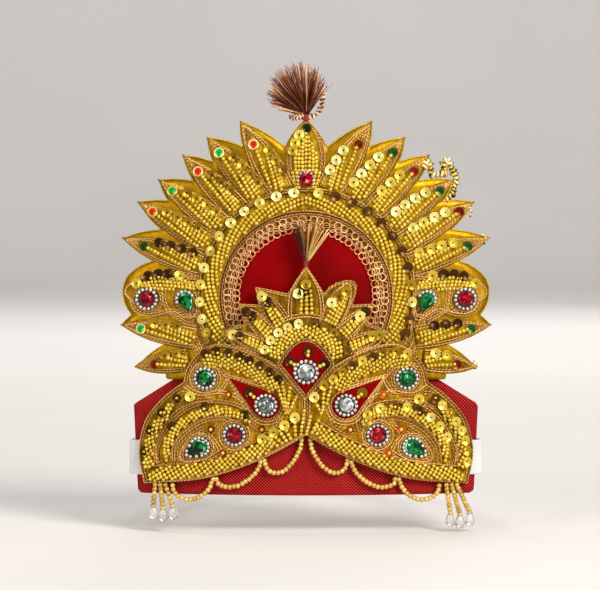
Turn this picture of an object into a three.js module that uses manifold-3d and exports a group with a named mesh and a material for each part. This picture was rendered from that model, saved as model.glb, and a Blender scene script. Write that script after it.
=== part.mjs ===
// A mukut: a ceremonial crown of card and cloth, covered in bead and cord work, that stands on the brow.
// A red head band and a white elastic strap go round the head. A gold fan of padded rays stands on the band,
// and a front plaque of a crest and two paisley wings leans on both.
// Millimetres, +Z up, the wearer faces -Y. The origin is the middle of the head opening, level with the
// band's rim.

import * as THREE from "three";
import { ParametricGeometry } from "three/addons/geometries/ParametricGeometry.js";
import { mergeVertices } from "three/addons/utils/BufferGeometryUtils.js";
import Module from "manifold-3d";

const wasm = await Module();
wasm.setup();

// Driving dimensions. x runs across the crown, z up, and w out from the band's outer face.
const GAP = 0.3; // clearance between pieces that are sewn or glued face to face
const CARD = 2; // cloth-covered card
const CLOTH = 1; // a single cloth patch
const BOW = { radius: 250, faceY: -92, half: 102, facets: 18 }; // the band's face, bowed about an upright axis
const BAND = { rimHalf: 85.5, sideHalf: 87.5, shoulder: 45, topHalf: 45, top: 72, corner: 5 };
const STRAP = { width: 17.5, thick: 1.5, bottom: 9.5, sewnFrom: 69, headHalf: 78.5, back: 97, steps: 28 };
const FAN = { centreZ: 100, hem: 58, rayRise: 1.7, lobeRise: 1.3 };
const RING = { inner: 41.8, outer: 52.6, rise: 2.2, reach: 128 };
const LACE = { inner: 32.5, outer: 41.4, reach: 124 };
const SATIN = { radius: 41 };
const PLAQUE = { lean: 3.8, hemZ: 8, card: 1.6, rollRise: 2.2 };
const CREST = { centreZ: 66, archRadius: 17.3, archHalf: 3.9, archReach: 72 };
const STONE = { radius: 4.1, rim: 5.8, height: 2.6, sides: 10, dropReach: 0.62 };
const STRING = { radius: 1, sides: 8, hang: 3 };
const DROP = { radius: 2.4, length: 6.8, sides: 6 };

// Heights of the stacked layers, out from the band's outer face.
const fanBack = GAP;
const fanFront = fanBack + CARD;
const rayBack = fanFront + GAP;
const satinFront = rayBack + CLOTH;
const laceBack = satinFront + GAP;
const plaqueBack = GAP + STRAP.thick + GAP;
const plaqueFront = plaqueBack + PLAQUE.card;
const windowBack = plaqueFront + GAP;
const windowFront = windowBack + CLOTH;

// The fan's edge, by degrees from upright: the tip and valley of each ray, the lobe and the two low rays.
const FAN_EDGE = [
  { angle: 0, radius: 89.5 },
  { angle: 8, radius: 76 },
  { angle: 20.3, radius: 94 },
  { angle: 22.5, radius: 81.5 },
  { angle: 31.6, radius: 93.8 },
  { angle: 34.3, radius: 82 },
  { angle: 40.8, radius: 93.8 },
  { angle: 44, radius: 81 },
  { angle: 51.4, radius: 94 },
  { angle: 55, radius: 84 },
  { angle: 60.5, radius: 96.3 },
  { angle: 65.2, radius: 80 },
  { angle: 72.4, radius: 96.3 },
  { angle: 77, radius: 78.5 },
  { angle: 80.5, radius: 86 },
  { angle: 84.5, radius: 91 },
  { angle: 88.8, radius: 92.3 },
  { angle: 93, radius: 91 },
  { angle: 96.3, radius: 88 },
  { angle: 99.2, radius: 94 },
  { angle: 109, radius: 75 },
  { angle: 113.2, radius: 93 },
  { angle: 118.5, radius: 80 },
  { angle: 121, radius: 81.5 },
];

// The padded rays of one side: where each starts and ends round the fan's centre, and its width.
const RAYS = [
  { name: "ray_1", baseAngle: 12.5, baseRadius: 54.8, tipAngle: 20, tipRadius: 91.3, half: 6.7, waist: 0.82 },
  { name: "ray_2", baseAngle: 25, baseRadius: 54.8, tipAngle: 31.3, tipRadius: 91.3, half: 6, waist: 0.84 },
  { name: "ray_3", baseAngle: 37.5, baseRadius: 54.8, tipAngle: 40.6, tipRadius: 91.5, half: 5.3, waist: 0.86 },
  { name: "ray_4", baseAngle: 49.5, baseRadius: 54.8, tipAngle: 51.3, tipRadius: 91.7, half: 5.3, waist: 0.86 },
  { name: "ray_5", baseAngle: 61, baseRadius: 54.8, tipAngle: 60.5, tipRadius: 94, half: 5.3, waist: 0.86 },
  { name: "ray_6", baseAngle: 73, baseRadius: 54.8, tipAngle: 72.3, tipRadius: 94, half: 5.8, waist: 0.82 },
  { name: "ray_7", baseAngle: 110.5, baseRadius: 58.5, tipAngle: 99.4, tipRadius: 91.5, half: 5.4, waist: 0.82 },
  { name: "ray_8", baseAngle: 118.5, baseRadius: 66.5, tipAngle: 113.1, tipRadius: 90.5, half: 4.6, waist: 0.86 },
];
const TOP_RAY = { baseRadius: 54.8, tipRadius: 87.6, half: 13, waist: 0.4 };
const LOBE = { angle: 88.6, baseRadius: 54.8, tipRadius: 90.6, half: 12 };
const TIP_HALF = 0.3; // a ray ends in a blunt point

// The crest's edge round its own centre: tips and valleys, then the hem that follows the wings.
const CREST_EDGE = [
  { angle: 0, radius: 50.5 },
  { angle: 13.9, radius: 37.5 },
  { angle: 32.2, radius: 46.8 },
  { angle: 36.2, radius: 38.1 },
  { angle: 47.2, radius: 45.6 },
  { angle: 55.1, radius: 37 },
  { angle: 67.6, radius: 44.6 },
  { angle: 73.6, radius: 37.6 },
  { angle: 74.6, radius: 29.2 },
  { angle: 78, radius: 21 },
  { angle: 86.5, radius: 14.6 },
  { angle: 145, radius: 10.7 },
  { angle: 180, radius: 15.3 },
];
const CREST_PETALS = [
  { angle: 30, tipAngle: 31.8, tipRadius: 45, half: 5.2 },
  { angle: 48.5, tipAngle: 47, tipRadius: 43.8, half: 4.5 },
  { angle: 65, tipAngle: 66.5, tipRadius: 42.6, half: 4 },
];
// The right-hand top petal is rounder than its pair: its edge between the same two valleys, and its pad.
const ROUND_PETAL = {
  edge: [
    { angle: 16.1, radius: 41.4 },
    { angle: 20.3, radius: 44.9 },
    { angle: 25.2, radius: 47.6 },
    { angle: 29, radius: 48.7 },
    { angle: 31.7, radius: 47.4 },
    { angle: 33.9, radius: 43.4 },
  ],
  pad: { angle: 28, tipAngle: 27, tipRadius: 46.6, half: 6 },
};
const CREST_PETAL_BASE = 20;
const CREST_TOP = { tipRadius: 48.6, half: 11 };

// One wing's outline, from the middle of its hem round the outer edge and the head to the middle of its top.
const WING_HEM = [
  { x: GAP, z: 31 },
  { x: 14.5, z: 22.7 },
  { x: 28, z: 16.2 },
  { x: 42, z: 10.9 },
  { x: 57, z: 7.3 },
  { x: 80.5, z: 4.8 },
];
const WING_SIDE = [
  { x: 80.5, z: 4.8 },
  { x: 83, z: 21 },
  { x: 79.5, z: 37.3 },
  { x: 70, z: 49.5 },
  { x: 60.5, z: 57 },
];
const WING_TOP = [
  { x: 60.5, z: 57 },
  { x: 58.3, z: 65 },
  { x: 52.5, z: 72 },
  { x: 42, z: 76 },
  { x: 28, z: 72.4 },
  { x: 14.5, z: 65.4 },
  { x: 6, z: 56 },
  { x: GAP, z: 49.5 },
];
// The padded rolls under a wing's rows of beads, as the points that each runs through, and its half width.
const WING_ROLLS = [
  { half: 3.9, through: [[50, 69.5], [42, 71.2], [33, 68.6], [24, 64.8], [15, 58.2], [7.8, 48]] },
  { half: 3.5, through: [[3, 35], [22, 24.3], [46, 14.6], [77, 9.2]] },
  { half: 3, through: [[79, 13.5], [79, 22], [76.2, 32], [70, 41.5], [63, 48.6]] },
  { half: 2.7, through: [[70.5, 17.5], [69.3, 25], [64, 34], [54.5, 41.2], [43, 44], [34, 41.8], [28, 37.4]] },
];
const WINDOW = { x: 19.6, z: 46.3, radius: 6.6, tipX: 37.5, tipZ: 59.6 };
const CREST_WINDOW = { foot: 52, half: 12, shoulder: 67, top: 78.2 };

// The set stones of one side: place, the layer that carries it, and a drop's turn from pointing straight down.
const SIDE_STONES = [
  { name: "green_stone", x: 49.7, z: 59.3, seat: "plaque", colour: "green" },
  { name: "clear_stone", x: 19.6, z: 46.5, seat: "window", colour: "clear" },
  { name: "red_stone", x: 35.3, z: 30.9, seat: "plaque", colour: "red" },
  { name: "green_drop", x: 52.4, z: 24.6, seat: "plaque", colour: "green", pointAngle: -56 },
  { name: "lobe_red_stone", x: 78.4, z: 98.6, seat: "lobe", colour: "red" },
  { name: "lobe_green_drop", x: 59.4, z: 98.6, seat: "lobe", colour: "green", pointAngle: 24 },
];
const MIDDLE_STONES = [
  { name: "crest_clear_stone", x: 0, z: 63.3, seat: "window", colour: "clear", scale: 1.1 },
  { name: "top_red_stone", x: 0, z: 159, seat: "ray", colour: "red", scale: 0.76 },
];

// The bead swags of one side: where along the hem the string is caught up, and how far each loop falls.
const SWAGS = [
  { fromX: 2.2, toX: 20.5, fall: 10.5 },
  { fromX: 22.6, toX: 44.5, fall: 7.5 },
  { fromX: 46.6, toX: 66.5, fall: 8.6 },
];
const TASSEL = { topX: 72.6, topSpread: 5.2, footSpread: 9.8, strings: 3, knot: [4.4, 1.5, 1.5] };
const TASSEL_FOOT = { left: { x: 71, z: -6 }, right: { x: 76.6, z: -9.5 } }; // both swing the same way, one hangs lower
// Locks of the thread tassels: the way each leans from upright and how long it is.
const TOP_LOCKS = [
  { lean: -52, length: 22 },
  { lean: -38, length: 25 },
  { lean: -24, length: 26 },
  { lean: -10, length: 28 },
  { lean: 3, length: 27 },
  { lean: 17, length: 25 },
  { lean: 28, length: 20 },
];
const CREST_LOCKS = [
  { lean: -14, length: 19 },
  { lean: -3, length: 20 },
  { lean: 8, length: 21 },
  { lean: 19, length: 21 },
  { lean: 29, length: 21 },
];

// Materials
const finish = (color, roughness, metalness = 0) =>
  new THREE.MeshStandardMaterial({ color, roughness, metalness });
const MATERIALS = {
  redWeave: finish(0xa01420, 0.8),
  elastic: finish(0xdedcd6, 0.75),
  tissue: finish(0xc8961e, 0.4, 0.6),
  satin: finish(0xa00008, 0.35),
  beads: finish(0xe0b428, 0.3),
  lace: finish(0xc08c50, 0.45, 0.5),
  red: finish(0xb00818, 0.08),
  green: finish(0x0a7832, 0.08),
  clear: finish(0xd8dcdc, 0.05),
  thread: finish(0x8a4a30, 0.5, 0.3),
};

// A point at x across, z up and w out from the band's face, carried onto the bow.
function bowed(x, w, z) {
  const turn = Math.asin(x / BOW.radius);
  const reach = BOW.radius + w;
  return new THREE.Vector3(reach * Math.sin(turn), BOW.faceY + BOW.radius - reach * Math.cos(turn), z);
}

// A point round a centre on the middle line, by degrees from upright.
function round(centreZ, angle, radius) {
  const turn = THREE.MathUtils.degToRad(angle);
  return new THREE.Vector2(radius * Math.sin(turn), centreZ + radius * Math.cos(turn));
}

function mirrored(points) {
  return points.map((p) => new THREE.Vector2(-p.x, p.y)).reverse();
}

// Solids: a closed geometry to a manifold and back.
function solid(geometry) {
  const bare = geometry.clone();
  bare.deleteAttribute("normal");
  bare.deleteAttribute("uv");
  const merged = mergeVertices(bare, 1e-4);
  return new wasm.Manifold(
    new wasm.Mesh({
      numProp: 3,
      vertProperties: merged.attributes.position.array,
      triVerts: new Uint32Array(merged.index.array),
    }),
  );
}

function geometryOf(manifold) {
  const mesh = manifold.getMesh();
  const geometry = new THREE.BufferGeometry();
  geometry.setAttribute("position", new THREE.BufferAttribute(mesh.vertProperties, 3));
  geometry.setIndex(new THREE.BufferAttribute(mesh.triVerts, 1));
  return geometry;
}

const fused = (geometries) => geometryOf(geometries.map(solid).reduce((all, one) => all.add(one)));

// A wall that follows the bow from one layer height to another, from low to high.
function bowWall(back, front, low, high) {
  const across = Array.from({ length: BOW.facets + 1 }, (_, i) => BOW.half * ((2 * i) / BOW.facets - 1));
  const plan = (w) => across.map((x) => bowed(x, w, 0)).map((p) => new THREE.Vector2(p.x, p.y));
  const outline = new THREE.Shape([...plan(front), ...plan(back).reverse()]);
  return new THREE.ExtrudeGeometry(outline, { depth: high - low, bevelEnabled: false }).translate(0, 0, low);
}

// A flat outline in x and z, cut out of a bowed wall.
function plate(outline, back, front, curveSegments = 3) {
  const wall = bowWall(back, front, -40, 240);
  const reach = BOW.radius;
  const cutter = new THREE.ExtrudeGeometry(outline, { depth: reach, bevelEnabled: false, curveSegments });
  cutter.rotateX(Math.PI / 2).translate(0, BOW.faceY + reach / 2, 0);
  return geometryOf(solid(wall).intersect(solid(cutter)));
}

// A padded strip along a path in x and z: flat behind, with a low edge and a crowned front that tapers with
// its width.
function padded({ path, half, back, rise, edge = 0.8, stations = 5 }) {
  const rows = stations + 2; // one more at each end, drawn in to close it
  const widest = Math.max(...Array.from({ length: stations + 1 }, (_, i) => half(i / stations)));
  const section = [
    { across: -1, height: 0, crown: 0 },
    { across: -1, height: edge, crown: 0 },
    { across: -0.6, height: edge, crown: 0.72 },
    { across: 0, height: edge, crown: 1 },
    { across: 0.6, height: edge, crown: 0.72 },
    { across: 1, height: edge, crown: 0 },
    { across: 1, height: 0, crown: 0 },
  ];
  const surface = (u, v, target) => {
    const row = Math.round(v * rows);
    const along = THREE.MathUtils.clamp((row - 1) / stations, 0, 1);
    const isEnd = row === 0 || row === rows;
    const { across, height, crown } = section[Math.round(u * section.length) % section.length];
    const middle = path.getPoint(along);
    const way = path.getTangent(along);
    const offset = isEnd ? 0 : across * half(along);
    const lift = isEnd ? edge / 2 : height + crown * rise * Math.sqrt(half(along) / widest);
    target.copy(bowed(middle.x + way.y * offset, back + lift, middle.y - way.x * offset));
  };
  return new ParametricGeometry(surface, section.length, rows);
}

const rayHalf = (half, waist) => (t) => Math.max(TIP_HALF, half * (1 - t * t) * (waist + (1.3 - waist) * t));
const lobeHalf = (half) => (t) =>
  Math.max(TIP_HALF, half * Math.sqrt(1 - t ** 3) * (0.7 + 0.3 * Math.sin(Math.PI * t)));
const evenHalf = (half) => () => half;

// A round tube through points in space.
function tube(points, steps, sides = STRING.sides) {
  const turn = (i) => (2 * Math.PI * i) / sides;
  const ring = Array.from({ length: sides }, (_, i) =>
    new THREE.Vector2(Math.cos(turn(i)), Math.sin(turn(i))).multiplyScalar(STRING.radius),
  );
  const extrudePath = new THREE.CatmullRomCurve3(points, false, "centripetal");
  return new THREE.ExtrudeGeometry(new THREE.Shape(ring), { steps, extrudePath });
}

// The red band: a bowed wall with sloping shoulders, rounded at its lower corners.
function headBand() {
  const { rimHalf, sideHalf, shoulder, topHalf, top, corner } = BAND;
  const outline = new THREE.Shape()
    .moveTo(-rimHalf + corner, 0)
    .lineTo(rimHalf - corner, 0)
    .quadraticCurveTo(rimHalf, 0, rimHalf, corner)
    .lineTo(sideHalf, shoulder)
    .lineTo(topHalf, top)
    .lineTo(-topHalf, top)
    .lineTo(-sideHalf, shoulder)
    .lineTo(-rimHalf, corner)
    .quadraticCurveTo(-rimHalf, 0, -rimHalf + corner, 0);
  return plate(outline, -CARD, 0);
}

// The elastic strap: sewn to the band's outer face at each end, round the ends of the band and round the head.
function elasticStrap() {
  const sewn = GAP + STRAP.thick / 2;
  const onBand = [STRAP.sewnFrom, (STRAP.sewnFrom + BAND.rimHalf) / 2, BAND.rimHalf].map((x) => bowed(x, sewn, 0));
  const corner = bowed(BAND.sideHalf, 0, 0);
  const roundEnd = [
    new THREE.Vector3(corner.x + 0.9, corner.y - 0.2, 0),
    new THREE.Vector3(corner.x + 1, corner.y + 3, 0),
    new THREE.Vector3(corner.x - 0.6, corner.y + 16, 0),
  ];
  const roundHead = [0, 22, 45, 68].map((degrees) => {
    const turn = THREE.MathUtils.degToRad(degrees);
    return new THREE.Vector3(STRAP.headHalf * Math.cos(turn), STRAP.back * Math.sin(turn), 0);
  });
  const half = [...onBand, ...roundEnd, ...roundHead];
  const back = new THREE.Vector3(0, STRAP.back, 0);
  const rest = half.map((p) => new THREE.Vector3(-p.x, p.y, 0)).reverse();
  const route = new THREE.CatmullRomCurve3([...half, back, ...rest], false, "centripetal");
  const side = (offset) =>
    Array.from({ length: STRAP.steps * 2 + 1 }, (_, i) => {
      const along = i / (STRAP.steps * 2);
      const p = route.getPoint(along);
      const way = route.getTangent(along);
      return new THREE.Vector2(p.x + way.y * offset, p.y - way.x * offset);
    });
  const outline = new THREE.Shape([...side(STRAP.thick / 2), ...side(-STRAP.thick / 2).reverse()]);
  const strip = new THREE.ExtrudeGeometry(outline, { depth: STRAP.width, bevelEnabled: false });
  return strip.translate(0, 0, STRAP.bottom);
}

// The fan: card, satin disc, lace and padded ring.
function fanOutline() {
  const right = FAN_EDGE.map(({ angle, radius }) => round(FAN.centreZ, angle, radius));
  const foot = new THREE.Vector2(right.at(-1).x, FAN.hem);
  return new THREE.Shape([...right.slice(1), foot, ...mirrored([...right.slice(1), foot]), right[0]]);
}

function satinDisc() {
  const disc = new THREE.Shape().absarc(0, FAN.centreZ, SATIN.radius, 0, 2 * Math.PI);
  return plate(disc, rayBack, satinFront, 16);
}

const arcFrom = (reach) => THREE.MathUtils.degToRad(90 - reach);
const arcTo = (reach) => THREE.MathUtils.degToRad(90 + reach);

function laceRing() {
  const [from, to] = [arcFrom(LACE.reach), arcTo(LACE.reach)];
  const band = new THREE.Shape()
    .absarc(0, FAN.centreZ, LACE.outer, from, to, false)
    .absarc(0, FAN.centreZ, LACE.inner, to, from, true);
  return plate(band, laceBack, laceBack + CLOTH, 14);
}

function beadRing() {
  const middle = (RING.inner + RING.outer) / 2;
  const path = new THREE.EllipseCurve(0, FAN.centreZ, middle, middle, arcFrom(RING.reach), arcTo(RING.reach));
  const half = evenHalf((RING.outer - RING.inner) / 2);
  return padded({ path, half, back: rayBack, rise: RING.rise, stations: 28 });
}

function fanRay({ baseAngle, baseRadius, tipAngle, tipRadius, half, waist }, side) {
  const base = round(FAN.centreZ, side * baseAngle, baseRadius);
  const tip = round(FAN.centreZ, side * tipAngle, tipRadius);
  const path = new THREE.LineCurve(base, tip);
  return padded({ path, half: rayHalf(half, waist), back: rayBack, rise: FAN.rayRise });
}

function fanLobe(side) {
  const base = round(FAN.centreZ, side * LOBE.angle, LOBE.baseRadius);
  const tip = round(FAN.centreZ, side * LOBE.angle, LOBE.tipRadius);
  const path = new THREE.LineCurve(base, tip);
  return padded({ path, half: lobeHalf(LOBE.half), back: rayBack, rise: FAN.lobeRise, stations: 7 });
}

// The crest: a card edge with padded petals and the arch over its window.
function crest() {
  const place = ({ angle, radius }) => round(CREST.centreZ, angle, radius);
  const [tip, valley, , ...lower] = CREST_EDGE;
  const right = [tip, valley, ...ROUND_PETAL.edge, ...lower].map(place);
  const outline = new THREE.Shape([...right, ...mirrored(CREST_EDGE.slice(1, -1).map(place))]);
  const sunk = plaqueFront - PLAQUE.card / 2;
  const petal = (angle, tipAngle, tipRadius, half, stations = 4) => {
    const base = round(CREST.centreZ, angle, CREST_PETAL_BASE);
    const path = new THREE.LineCurve(base, round(CREST.centreZ, tipAngle, tipRadius));
    return padded({ path, half, back: sunk, rise: PLAQUE.rollRise, edge: 1.2, stations });
  };
  const pointed = (side) => (p) => petal(side * p.angle, side * p.tipAngle, p.tipRadius, rayHalf(p.half, 0.7));
  const { angle, tipAngle, tipRadius, half: roundHalf } = ROUND_PETAL.pad;
  const rounded = petal(angle, tipAngle, tipRadius, lobeHalf(roundHalf), 6);
  const petals = [...CREST_PETALS.map(pointed(-1)), ...CREST_PETALS.slice(1).map(pointed(1)), rounded];
  const { archRadius, archReach, archHalf, centreZ } = CREST;
  const path = new THREE.EllipseCurve(0, centreZ, archRadius, archRadius, arcFrom(archReach), arcTo(archReach));
  const half = evenHalf(archHalf);
  const arch = padded({ path, half, back: sunk, rise: PLAQUE.rollRise, edge: 1.4, stations: 10 });
  const top = petal(0, 0, CREST_TOP.tipRadius, rayHalf(CREST_TOP.half, 0.7));
  return fused([plate(outline, plaqueBack, plaqueFront), top, ...petals, arch]);
}

function crestWindow() {
  const { foot, half, shoulder, top } = CREST_WINDOW;
  const outline = new THREE.Shape()
    .moveTo(0, foot)
    .lineTo(half, shoulder)
    .quadraticCurveTo(half / 2, top, 0, top)
    .quadraticCurveTo(-half / 2, top, -half, shoulder);
  return plate(outline, windowBack, windowFront);
}

// A wing: a card edge with the padded rolls fused on.
function wing(side) {
  const onSide = ({ x, z }) => new THREE.Vector2(side * x, z);
  const [hem, edge, top] = [WING_HEM, WING_SIDE, WING_TOP].map((rows) => rows.map(onSide));
  const outline = new THREE.Shape()
    .moveTo(hem[0].x, hem[0].y)
    .splineThru(hem.slice(1))
    .splineThru(edge.slice(1))
    .splineThru(top.slice(1));
  const sunk = plaqueFront - PLAQUE.card / 2;
  const rolls = WING_ROLLS.map(({ half, through }) =>
    padded({
      path: new THREE.SplineCurve(through.map(([x, z]) => new THREE.Vector2(side * x, z))),
      half: evenHalf(half),
      back: sunk,
      rise: PLAQUE.rollRise,
      edge: 1.2,
      stations: 7,
    }),
  );
  return fused([plate(outline, plaqueBack, plaqueFront), ...rolls]);
}

// A wing's red window: round below and drawn out to a point.
function wingWindow(side) {
  const { x, z, radius, tipX, tipZ } = WINDOW;
  const reach = Math.hypot(tipX - x, tipZ - z);
  const aim = Math.atan2(tipZ - z, tipX - x);
  const spread = Math.acos(radius / reach);
  const at = (turn) => new THREE.Vector2(side * (x + radius * Math.cos(turn)), z + radius * Math.sin(turn));
  const steps = 10;
  const sweep = 2 * Math.PI - 2 * spread;
  const bowl = Array.from({ length: steps + 1 }, (_, i) => at(aim + spread + (sweep * i) / steps));
  return plate(new THREE.Shape([...bowl, new THREE.Vector2(side * tipX, tipZ)]), windowBack, windowFront);
}

// A set stone: a cup with a round rim, and a cut stone with a flat table. A drop is drawn out to a point.
function setStone({ scale = 1, pointAngle }, side) {
  const { radius, rim, height, sides, dropReach } = STONE;
  const profile = [
    [0, 0],
    [rim - 0.5, 0],
    [rim, 0.7],
    [rim - 0.5, 1.4],
    [radius, 1.1],
    [radius * 0.55, height],
    [0, height],
  ].map(([r, h]) => new THREE.Vector2(r * scale, h));
  const stone = new THREE.LatheGeometry(profile, sides);
  if (pointAngle !== undefined) {
    const place = stone.getAttribute("position");
    for (let i = 0; i < place.count; i++) {
      const [x, z] = [place.getX(i), place.getZ(i)];
      const lead = Math.max(0, z / Math.max(Math.hypot(x, z), 1e-6)) ** 2;
      place.setXYZ(i, x * (0.82 - 0.1 * lead), place.getY(i), z * (0.82 + dropReach * lead));
    }
    stone.rotateY(-side * THREE.MathUtils.degToRad(pointAngle));
  }
  return stone.rotateX(Math.PI);
}

// The height of a wing's hem at x.
const hemLine = new THREE.SplineCurve(WING_HEM.map(({ x, z }) => new THREE.Vector2(x, z))).getPoints(60);
const hemAt = (x) => hemLine.find((p) => p.x >= x).y;

// A string of beads that swings in loops along a wing's hem.
function swag(side) {
  const caught = STRING.radius + 2 * GAP;
  const route = SWAGS.flatMap(({ fromX, toX, fall }) =>
    [0, 0.12, 0.32, 0.55, 0.78, 0.94, 1].map((share) => {
      const x = fromX + (toX - fromX) * share;
      const top = hemAt(fromX) + (hemAt(toX) - hemAt(fromX)) * share - caught;
      return bowed(side * x, STRING.hang, top - fall * Math.sqrt(Math.sin(Math.PI * share)));
    }),
  );
  return tube(route, 30);
}

// A bead tassel: strings of beads from one knot, each ended by a drop.
function beadTassel(side, footAt) {
  const { topX, topSpread, footSpread, strings, knot } = TASSEL;
  const knotZ = hemAt(topX) - GAP - knot[2];
  const shares = Array.from({ length: strings }, (_, i) => i / (strings - 1) - 0.5);
  const pieces = shares.flatMap((share, i) => {
    const top = bowed(side * (topX + share * topSpread), STRING.hang, knotZ);
    const foot = bowed(side * (footAt.x + share * footSpread), STRING.hang + 1, footAt.z - (i % 2));
    const middle = top.clone().lerp(foot, 0.5).add(new THREE.Vector3(0, -0.6, 0));
    const profile = [
      [0, -DROP.length],
      [DROP.radius * 0.85, -DROP.length * 0.85],
      [DROP.radius, -DROP.length * 0.6],
      [0, STRING.radius],
    ].map(([r, h]) => new THREE.Vector2(r, h));
    const drop = new THREE.LatheGeometry(profile, DROP.sides).rotateX(Math.PI / 2);
    return [tube([top, middle, foot], 2, DROP.sides), drop.translate(foot.x, foot.y, foot.z)];
  });
  const bar = new THREE.SphereGeometry(1, 8, 5).scale(...knot);
  const seat = bowed(side * topX, STRING.hang, knotZ);
  return fused([bar.translate(seat.x, seat.y, seat.z), ...pieces]);
}

// A thread tassel: a bound neck and flat locks that spread upwards.
function threadTassel(locks, neckRadius, lockHalf) {
  const neckHeight = 2.6;
  const neck = new THREE.CylinderGeometry(neckRadius, neckRadius * 0.85, neckHeight, 8).rotateX(Math.PI / 2);
  neck.translate(0, 0, neckHeight / 2);
  const spread = locks.map(({ lean, length }, i) => {
    const lock = new THREE.CylinderGeometry(lockHalf, neckRadius * 0.55, length, 6).scale(1, 1, 0.8);
    const towards = i % 2 ? 4 : -4; // neighbouring locks lie a little in front of and behind each other
    lock.translate(0, length / 2, 0).rotateX(Math.PI / 2).rotateX(THREE.MathUtils.degToRad(towards));
    return lock.rotateY(THREE.MathUtils.degToRad(lean)).translate(0, 0, neckHeight * 0.6);
  });
  return fused([neck, ...spread]);
}

// The scene graph.
const crown = new THREE.Group();
const fan = new THREE.Group();
const plaque = new THREE.Group(); // leans out from its hem
const plaqueParts = new THREE.Group();
plaque.position.set(0, BOW.faceY, PLAQUE.hemZ);
plaque.rotation.x = THREE.MathUtils.degToRad(PLAQUE.lean);
plaqueParts.position.set(0, -BOW.faceY, -PLAQUE.hemZ);
plaque.add(plaqueParts);
crown.add(fan, plaque);

function add(group, name, geometry, material) {
  const mesh = new THREE.Mesh(geometry, material);
  mesh.name = name;
  group.add(mesh);
  return mesh;
}

// Stands a rigid piece on the bow at x and z, w out from the band's face.
function seatOnBow(mesh, x, w, z) {
  mesh.position.copy(bowed(x, w, z));
  mesh.rotation.z = Math.asin(x / BOW.radius);
}

const SEATS = {
  plaque: { group: plaqueParts, height: plaqueFront + GAP },
  window: { group: plaqueParts, height: windowFront + GAP },
  lobe: { group: fan, height: rayBack + 0.8 + FAN.lobeRise + GAP },
  ray: { group: fan, height: rayBack + 0.8 + FAN.rayRise + GAP },
};

function addStone(stone, name, side) {
  const { group, height } = SEATS[stone.seat];
  const mesh = add(group, name, setStone(stone, side), MATERIALS[stone.colour]);
  seatOnBow(mesh, side * stone.x, height, stone.z);
}

add(crown, "head_band", headBand(), MATERIALS.redWeave);
add(crown, "elastic_strap", elasticStrap(), MATERIALS.elastic);
add(fan, "fan_board", plate(fanOutline(), fanBack, fanFront), MATERIALS.tissue);
add(fan, "satin_disc", satinDisc(), MATERIALS.satin);
add(fan, "lace_ring", laceRing(), MATERIALS.lace);
add(fan, "bead_ring", beadRing(), MATERIALS.beads);
add(fan, "ray_top", fanRay({ baseAngle: 0, tipAngle: 0, ...TOP_RAY }, 1), MATERIALS.beads);
add(plaqueParts, "crest", crest(), MATERIALS.beads);
add(plaqueParts, "crest_window", crestWindow(), MATERIALS.satin);
MIDDLE_STONES.forEach((stone) => addStone(stone, stone.name, 1));

for (const [hand, side] of [["left", -1], ["right", 1]]) {
  RAYS.forEach((ray) => add(fan, `${ray.name}_${hand}`, fanRay(ray, side), MATERIALS.beads));
  add(fan, `lobe_${hand}`, fanLobe(side), MATERIALS.beads);
  add(plaqueParts, `wing_${hand}`, wing(side), MATERIALS.beads);
  add(plaqueParts, `window_${hand}`, wingWindow(side), MATERIALS.satin);
  SIDE_STONES.forEach((stone) => addStone(stone, `${stone.name}_${hand}`, side));
  add(crown, `bead_swag_${hand}`, swag(side), MATERIALS.beads);
  add(crown, `bead_tassel_${hand}`, beadTassel(side, TASSEL_FOOT[hand]), MATERIALS.beads);
}

const topLocks = threadTassel(TOP_LOCKS, 2, 3);
const topTassel = add(fan, "thread_tassel_top", topLocks, MATERIALS.thread);
seatOnBow(topTassel, 0, fanFront, FAN.centreZ + FAN_EDGE[0].radius + GAP);
const crestLocks = threadTassel(CREST_LOCKS, 1.2, 2.1);
const crestTassel = add(plaqueParts, "thread_tassel_crest", crestLocks, MATERIALS.thread);
seatOnBow(crestTassel, 0, plaqueFront, CREST.centreZ + CREST_EDGE[0].radius + GAP);

export default crown;
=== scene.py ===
import bpy
import numpy as np
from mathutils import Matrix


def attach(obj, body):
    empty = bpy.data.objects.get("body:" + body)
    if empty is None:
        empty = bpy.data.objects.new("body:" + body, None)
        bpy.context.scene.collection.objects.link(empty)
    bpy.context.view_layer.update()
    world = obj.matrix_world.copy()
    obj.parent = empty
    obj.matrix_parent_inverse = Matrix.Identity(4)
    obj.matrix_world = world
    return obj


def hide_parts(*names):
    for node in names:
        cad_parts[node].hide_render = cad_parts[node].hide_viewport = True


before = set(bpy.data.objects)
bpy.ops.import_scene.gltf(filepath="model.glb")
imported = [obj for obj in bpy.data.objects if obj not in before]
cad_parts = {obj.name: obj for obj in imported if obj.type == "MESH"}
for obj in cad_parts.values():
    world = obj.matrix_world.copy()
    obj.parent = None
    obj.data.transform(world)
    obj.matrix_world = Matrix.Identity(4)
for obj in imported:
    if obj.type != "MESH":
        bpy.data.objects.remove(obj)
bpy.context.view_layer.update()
draw = np.random.default_rng(11)
mm = 0.001
hands = (("left", -1), ("right", 1))
print("frame loaded:", len(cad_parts), "solids")

# The worn form, in millimetres: a bowed face, and a plaque that leans out from its hem.
form = dict(radius=250.0, faceY=-92.0, lean=3.8, hemZ=8.0, fanMiddle=100.0, crestMiddle=66.0)
# Heights out from the band's outer face, as the solids have them; pads lie just clear of the board.
layer = dict(
    board=2.3, pad=2.3 + 0.05, satinBack=2.6, satin=3.6, lace=3.9, string=3.0,
    plaqueBack=2.1, plaque=3.7, windowBack=4.0, window=5.0,
)


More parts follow.
